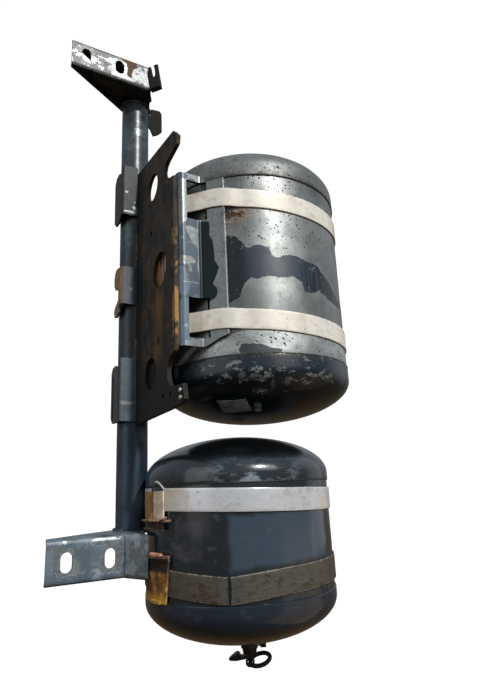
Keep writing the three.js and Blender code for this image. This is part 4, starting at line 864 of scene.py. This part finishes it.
def band(name, line, half_w, thick, zmid, lift, mat, slot, node, nw=10, rag0=None, rag1=None, stain=None, wave=0.25, seed=0):
    """A flat band on edge: line is its plan, lift(x, y) how far it stands above level."""
    L = [np.array(p, float) for p in line]
    d = np.r_[0, np.cumsum([np.linalg.norm(b - a) for a, b in zip(L[:-1], L[1:])])]
    n = int(d[-1] / 2.6); t = np.linspace(0, d[-1], n)
    X = np.interp(t, d, [p[0] for p in L]); Y = np.interp(t, d, [p[1] for p in L])
    r = min(0.75, thick * 0.42)
    loop = []                                   # (offset across the sheet, height), round the section
    hw, ht = half_w, thick / 2
    up = np.linspace(-hw + r, hw - r, nw)
    loop += [(ht, z) for z in up]
    loop += [(ht - r + r * math.cos(q), hw - r + r * math.sin(q)) for q in (rad(30), rad(60))] + [(ht - r, hw)]
    loop += [(-ht + r, hw)] + [(-ht + r - r * math.sin(q), hw - r + r * math.cos(q)) for q in (rad(30), rad(60))]
    loop += [(-ht, z) for z in up[::-1]]
    loop += [(-ht + r - r * math.cos(q), -hw + r - r * math.sin(q)) for q in (rad(30), rad(60))] + [(-ht + r, -hw)]
    loop += [(ht - r, -hw)] + [(ht - r + r * math.sin(q), -hw + r - r * math.cos(q)) for q in (rad(30), rad(60))]
    m_ = len(loop); v, su, sv, stn = [], [], [], []
    tx, ty = np.gradient(X), np.gradient(Y); k = np.hypot(tx, ty); tx, ty = tx / k, ty / k
    for i in range(n):
        for o, z in loop:
            s_shift = 0.0
            if rag0 is not None and t[i] < 14: s_shift += (1 - t[i] / 14) * np.interp(z / hw, np.linspace(-1, 1, len(rag0)), rag0)
            if rag1 is not None and d[-1] - t[i] < 14: s_shift -= (1 - (d[-1] - t[i]) / 14) * np.interp(z / hw, np.linspace(-1, 1, len(rag1)), rag1)
            nx, ny = ty[i], -tx[i]
            w_ = wave * mn.noise(Vector((t[i] * 0.02, z * 0.05, seed)))
            px, py = X[i] + nx * o + tx[i] * s_shift, Y[i] + ny * o + ty[i] * s_shift
            zz = zmid + z + lift(X[i], Y[i]) + w_
            v.append((px, py, zz)); su.append(t[i]); sv.append(z / hw); stn.append(stain(t[i], d[-1], X[i], Y[i]) if stain else 0)
    f = []
    for i in range(n - 1):
        for k_ in range(m_):
            f.append((i * m_ + k_, i * m_ + (k_ + 1) % m_, (i + 1) * m_ + (k_ + 1) % m_, (i + 1) * m_ + k_))
    f.append(tuple(range(m_))); f.append(tuple((n - 1) * m_ + k_ for k_ in range(m_)))
    ob = new_mesh(name, [P(p) for p in v], f, True, 40)
    put_attr(ob, "su", su); put_attr(ob, "sv", sv); put_attr(ob, "stain", stn)
    return piece(ob, mat, nodes=(node,))


def lean1(x, y, s, d, far):
    r, q = 0.866 * (x - T1["x"]) - 0.5 * (y - T1["y"]), 0.5 * (x - T1["x"]) + 0.866 * (y - T1["y"])
    phi = math.atan2(q, r)
    if phi < -2.6: phi += 2 * math.pi
    if phi <= 0: return -s * r + d * q
    return -s * T1["r"] + (far + s * T1["r"]) * min(1, phi / 2.93)


def saddle_strap(name, node, ztop, s, d, far, seed, stain):
    rc = T1["r"] + 0.3 + 1 + 0.12
    off = T1["r"] + 0.3 + 4.5 + 0.3 + 1 + 0.38
    c0 = np.array([T1["x"], T1["y"]])
    foot = lambda k: c0 + DN * off + TN * k
    mir = lambda p: np.array([p[0], 2 * T1["y"] - p[1]])
    near = [np.array([10.0, -182]), np.array([22.2, -182]), foot(-30), foot(0), foot(19)]
    near = chaikin(near + [c0 + rc * np.array([math.cos(rad(a)), math.sin(rad(a))]) for a in (236, 240)], 0, 0, 2)
    arc = [c0 + rc * np.array([math.cos(rad(a)), math.sin(rad(a))]) for a in np.arange(241, 479.1, 1.0)]
    line = near + arc + [mir(p) for p in near[::-1]]
    fx, fy = foot(0)
    def lift(x, y):
        if x < fx + 1 and y < T1["y"]: return lean1(fx, fy, s, d, far)
        if x < fx + 1: return far
        return lean1(x, y, s, d, far)
    return band(name, line, 15, 2.0, ztop - 15, lift, m_pale, "pale_steel", node, stain=stain, seed=seed)


def stain_u(t, L, x, y):
    left = max(0.0, 1 - abs(t - 30) / 45) * 0.8
    a = math.degrees(math.atan2(y - T1["y"], x - T1["x"])) % 360
    return max(left, min(1.0, max(0.0, (a - 296) / 14)) if y < T1["y"] + 60 and x > T1["x"] else 0.25)


saddle_strap("tank1_upper_band", "tank1_strap_upper", 446.8, 0.100, 0.086, 8, 1.0, stain_u)
saddle_strap("tank1_lower_band", "tank1_strap_lower", 246.6, 0.070, 0.020, 10.5, 7.0, stain_u)

R2 = lambda x, y: 0.866 * x - 0.5 * y
jr = R2(T2["r"] * math.cos(rad(235.2)), T2["r"] * math.sin(rad(235.2)))


def droop(x, y):
    r = R2(x - T2["x"], y - T2["y"]) - jr
    return min(0.1 * r, 4.5 + 0.035 * r) if r > 0 else -0.09 * r


def arc2(a0, a1):
    rc = T2["r"] + 1.42; n = int(abs(a1 - a0)) + 2
    return [np.array([T2["x"] + rc * math.cos(rad(a)), T2["y"] + rc * math.sin(rad(a))]) for a in np.linspace(a0, a1, n)]


def stain2(t, L, x, y):
    a = math.degrees(math.atan2(y - T2["y"], x - T2["x"])) % 360
    return 0.9 if a < 214 and a > 190 else (min(1.0, max(0.0, (a - 286) / 16)) * 0.9 if a > 286 else 0.1)


band("tank2_upper_band", arc2(195, 540), 15, 2.0, 1.3 - 15, lambda x, y: -0.036 * R2(x - T2["x"], y - T2["y"]), m_pale2, "pale_steel", "tank2_strap_upper", stain=stain2, seed=2)
rag = [0.0, 1.0, 0.3, 1.6, 0.9, 2.2, 1.0, 1.9, 0.4, 1.2, 0.1, 0.7]
rag2 = [0.5, -0.1, 0.9, 0.2, 1.1, 0.6, 1.8, 0.8, 1.4, 0.3, 1.0, 0.0]
band("tank2_lower_band_left", arc2(195, 234.7), 16, 2.0, -106 - 16, droop, m_dull, "dull_steel", "tank2_strap_lower_left", rag1=rag, stain=lambda t, L, x, y: 0.7, seed=3)
band("tank2_lower_band_right", arc2(235.75, 540), 16, 2.0, -106 - 16, droop, m_dull, "dull_steel", "tank2_strap_lower_right", rag0=rag2, stain=stain2, seed=4)

# ------------------------------------------------------------------ carrier
tube_prof = [(25, -54.7 + 4 * i) for i in range(0, 195)] + [(25, 725.2), (24.6, 725.6), (22.4, 725.6), (22, 725.2), (22, -54.5), (22.4, -54.7)]
tb = lathe("carrier_tube", tube_prof, 0, 0, 72, 0.15, 30.0)
piece(tb, m_tube, nodes=("support_tube",))

ub = adopt("upper_end_bracket", m_ub, 0.9, 3, grid=5)
c = coords(ub); fl = c[:, 1] < -50
put_attr(ub, "rust", np.where(fl, sd(c[:, [0, 2]], UB_RUST), -20))
put_attr(ub, "grey", np.where(fl, np.max([sd(c[:, [0, 2]], q) for q in UB_GREY], axis=0), -20))
put_attr(ub, "ring", np.where(fl, np.max([15 - np.hypot(c[:, 0] - x_, (c[:, 2] - 755) * 0.7) for x_ in (-109, -49)], axis=0), -20))
lb = adopt("lower_end_bracket", m_lb, 0.9, 3, grid=5)
c = coords(lb); fl = c[:, 1] < -54
put_attr(lb, "bare", np.where(fl, np.max([sd(c[:, [0, 2]], q) for q in LB_BARE], axis=0), -20))
sad = adopt("saddle_bracket", m_saddle, 0.9, 3, grid=5)
c = coords(sad)
cf = np.array([T1["x"], T1["y"]]) + DN * 154.55
kf = (c[:, :2] - cf) @ TN; df = np.abs((c[:, :2] - cf) @ DN)
leg = (c[:, 1] < -190); ft = (df < 6) & (kf > -24) & (c[:, 1] < -110)
bare = np.where(leg & ~ft, np.max([sd(c[:, [0, 2]], q) for q in LEG], axis=0), -20)
kz = np.stack([kf, c[:, 2]], 1)
bare = np.where(ft, 10.0, bare)
put_attr(sad, "bare", bare)
put_attr(sad, "light", np.where(leg & ~ft, np.max([sd(c[:, [0, 2]], q) for q in LEG_LIGHT], axis=0), -20))
GREEN = [(-30, 392), (-6, 388), (-8, 367), (-3, 356), (-1, 340), (0, 322), (6, 312), (2, 300), (-4, 287), (3, 278), (1, 267), (-13, 259), (-12, 246), (-30, 244)]
gr = sd(kz, GREEN)
put_attr(sad, "green", np.where(ft, gr, -20))
put_attr(sad, "rim", np.where((df < 7) & (kf > 10) & (c[:, 1] < -110), 1.4 - np.abs(kf - 18.0), -20))

# the fork and the clip tab are made near-black as painted shade
adopt("upper_bracket_fork", m_black_and_shade, 0.6, 2)
adopt("tube_clip_tab", m_black_and_shade, 0.6, 2)
adopt("gusset_plate", m_rust, 0.7, 2)
adopt("tube_hook_upper", m_hook, 0.6, 2)
adopt("tube_hook_middle", m_hooky, 0.6, 2)
adopt("tube_hook_lower", m_hook_lit, 0.6, 2)
adopt("tank2_clip_upper", m_clip_hi, 0.5, 2)
adopt("tank2_clip_lower", m_clip_lo, 0.5, 2)
adopt("tank2_seat", m_black_and_shade, 0.8, 2)
for n_ in ("plate_stud_upper", "plate_stud_lower"):
    adopt(n_, m_stud, 0.6, 2)
for n_ in ("tension_rod_upper", "tension_rod_lower", "tension_nut_upper_near", "tension_nut_upper_far", "tension_nut_lower_near", "tension_nut_lower_far"):
    adopt(n_, m_hidden, 0.4, 1)
adopt("tank1_data_plate", m_plate, 0.25, 1)
for n_ in ("tank1_top_port_boss", "tank1_bottom_port_boss", "tank2_top_port_boss", "drain_boss"):
    adopt(n_, m_darkboss, 0.5, 2)
for n_ in ("tank1_top_port_plug", "tank2_top_port_plug"):
    adopt(n_, m_hidden, 0.5, 2)
adopt("tank1_bottom_port_plug", m_darkboss, 0.5, 2)
for n_ in ("drain_valve_body", "drain_side_plug", "drain_lever", "drain_stem"):
    adopt(n_, m_valve, 0.4, 2)
adopt("drain_seal", m_rubber, 0.15, 1)
adopt("drain_spring", m_hidden, 0, 1)
adopt("drain_pull_ring", m_ring, 0, 1)


# ------------------------------------------------------------------ weld beads
def vline(name, x, y, z0, z1, r, mat, seed):
    return piece(sweep(name, [(x, y, z0), (x, y, z1)], r, ripple=0.35, pitch=3.4, seed=seed), mat)


for i, (z0, z1) in enumerate(((120, 168), (196, 250), (300, 352), (392, 440), (486, 548))):
    vline(f"plate_weld_near_{i}", -3.0, -25.9, z0, z1, 2.0, m_weldr, i)
    vline(f"plate_weld_far_{i}", 3.0, -25.9, z0 + 6, z1 + 4, 2.0, m_weldr, i + 9)


def ring_weld(name, R, z, r, a0, a1, mat, seed):
    L = [(R * math.cos(rad(a)), R * math.sin(rad(a)), z) for a in np.arange(a0, a1 + 1, 4)]
    return piece(sweep(name, L, r, ripple=0.35, pitch=3.6, seed=seed), mat)


ring_weld("upper_bracket_weld", 26.0, 724.6, 2.2, 150, 390, m_weld, 2)
ring_weld("lower_bracket_weld", 26.2, -54.2, 2.6, -60, 230, m_weld, 3)

# a black sheet behind the gusset plate's lowest hole, painted shade for the dark seen through it; the curled tongue
# over the upper clip, flaked rust on the lower one
def slab(name, x0, x1, poly, mat):
    """Plate of (y, z) outline from x0 to x1, with broken edges."""
    bm = bmesh.new()
    vs = [bm.verts.new(P((x0, y, z))) for y, z in poly]
    f = bm.faces.new(vs)
    r_ = bmesh.ops.extrude_face_region(bm, geom=[f])
    bmesh.ops.translate(bm, verts=[v for v in r_["geom"] if isinstance(v, bmesh.types.BMVert)], vec=((x1 - x0) / 1000, 0, 0))
    bmesh.ops.recalc_face_normals(bm, faces=bm.faces)
    bmesh.ops.bevel(bm, geom=bm.edges[:], offset=0.0006, segments=2, affect="EDGES", clamp_overlap=True)
    me = bpy.data.meshes.new(name); bm.to_mesh(me); bm.free()
    ob = bpy.data.objects.new(name, me); COL.objects.link(ob)
    return piece(ob, mat)


slab("gusset_hole_shade_sheet", 3.15, 5.4, [(-116, 150), (-110, 144), (-74, 144), (-68, 150), (-68, 193.4), (-116, 193.4)], m_black_and_shade)
piece(sweep("clip_tongue", [(-12.4, -140.5, 13.2), (-11.6, -143, 14.0), (-10.6, -146, 13.2), (-8.6, -150.5, 10.0), (-6.8, -154.5, 6.0), (-5.6, -157.5, 3.2)], 0.8, seg=8, flat=1.8, ups=(0.3, 0.1, 0.95)), m_stud)
flk = [(134.5 + 147 * math.cos(rad(a)), -104.9 + 147 * math.sin(rad(a)), -80.4) for a in np.arange(186, 197.1, 0.5)]
piece(sweep("clip_rust_flakes", flk, 1.5, ripple=0.9, pitch=3.1, seed=8), m_flake)
lip = [(134.5 + 150.4 * math.cos(rad(a)), -104.9 + 150.4 * math.sin(rad(a)), -37.2 + 0.9 * max(0, a - 197)) for a in np.arange(188, 202.1, 1)]
piece(sweep("clip_bright_lip", lip, 1.3, seg=8), m_clip_lip)
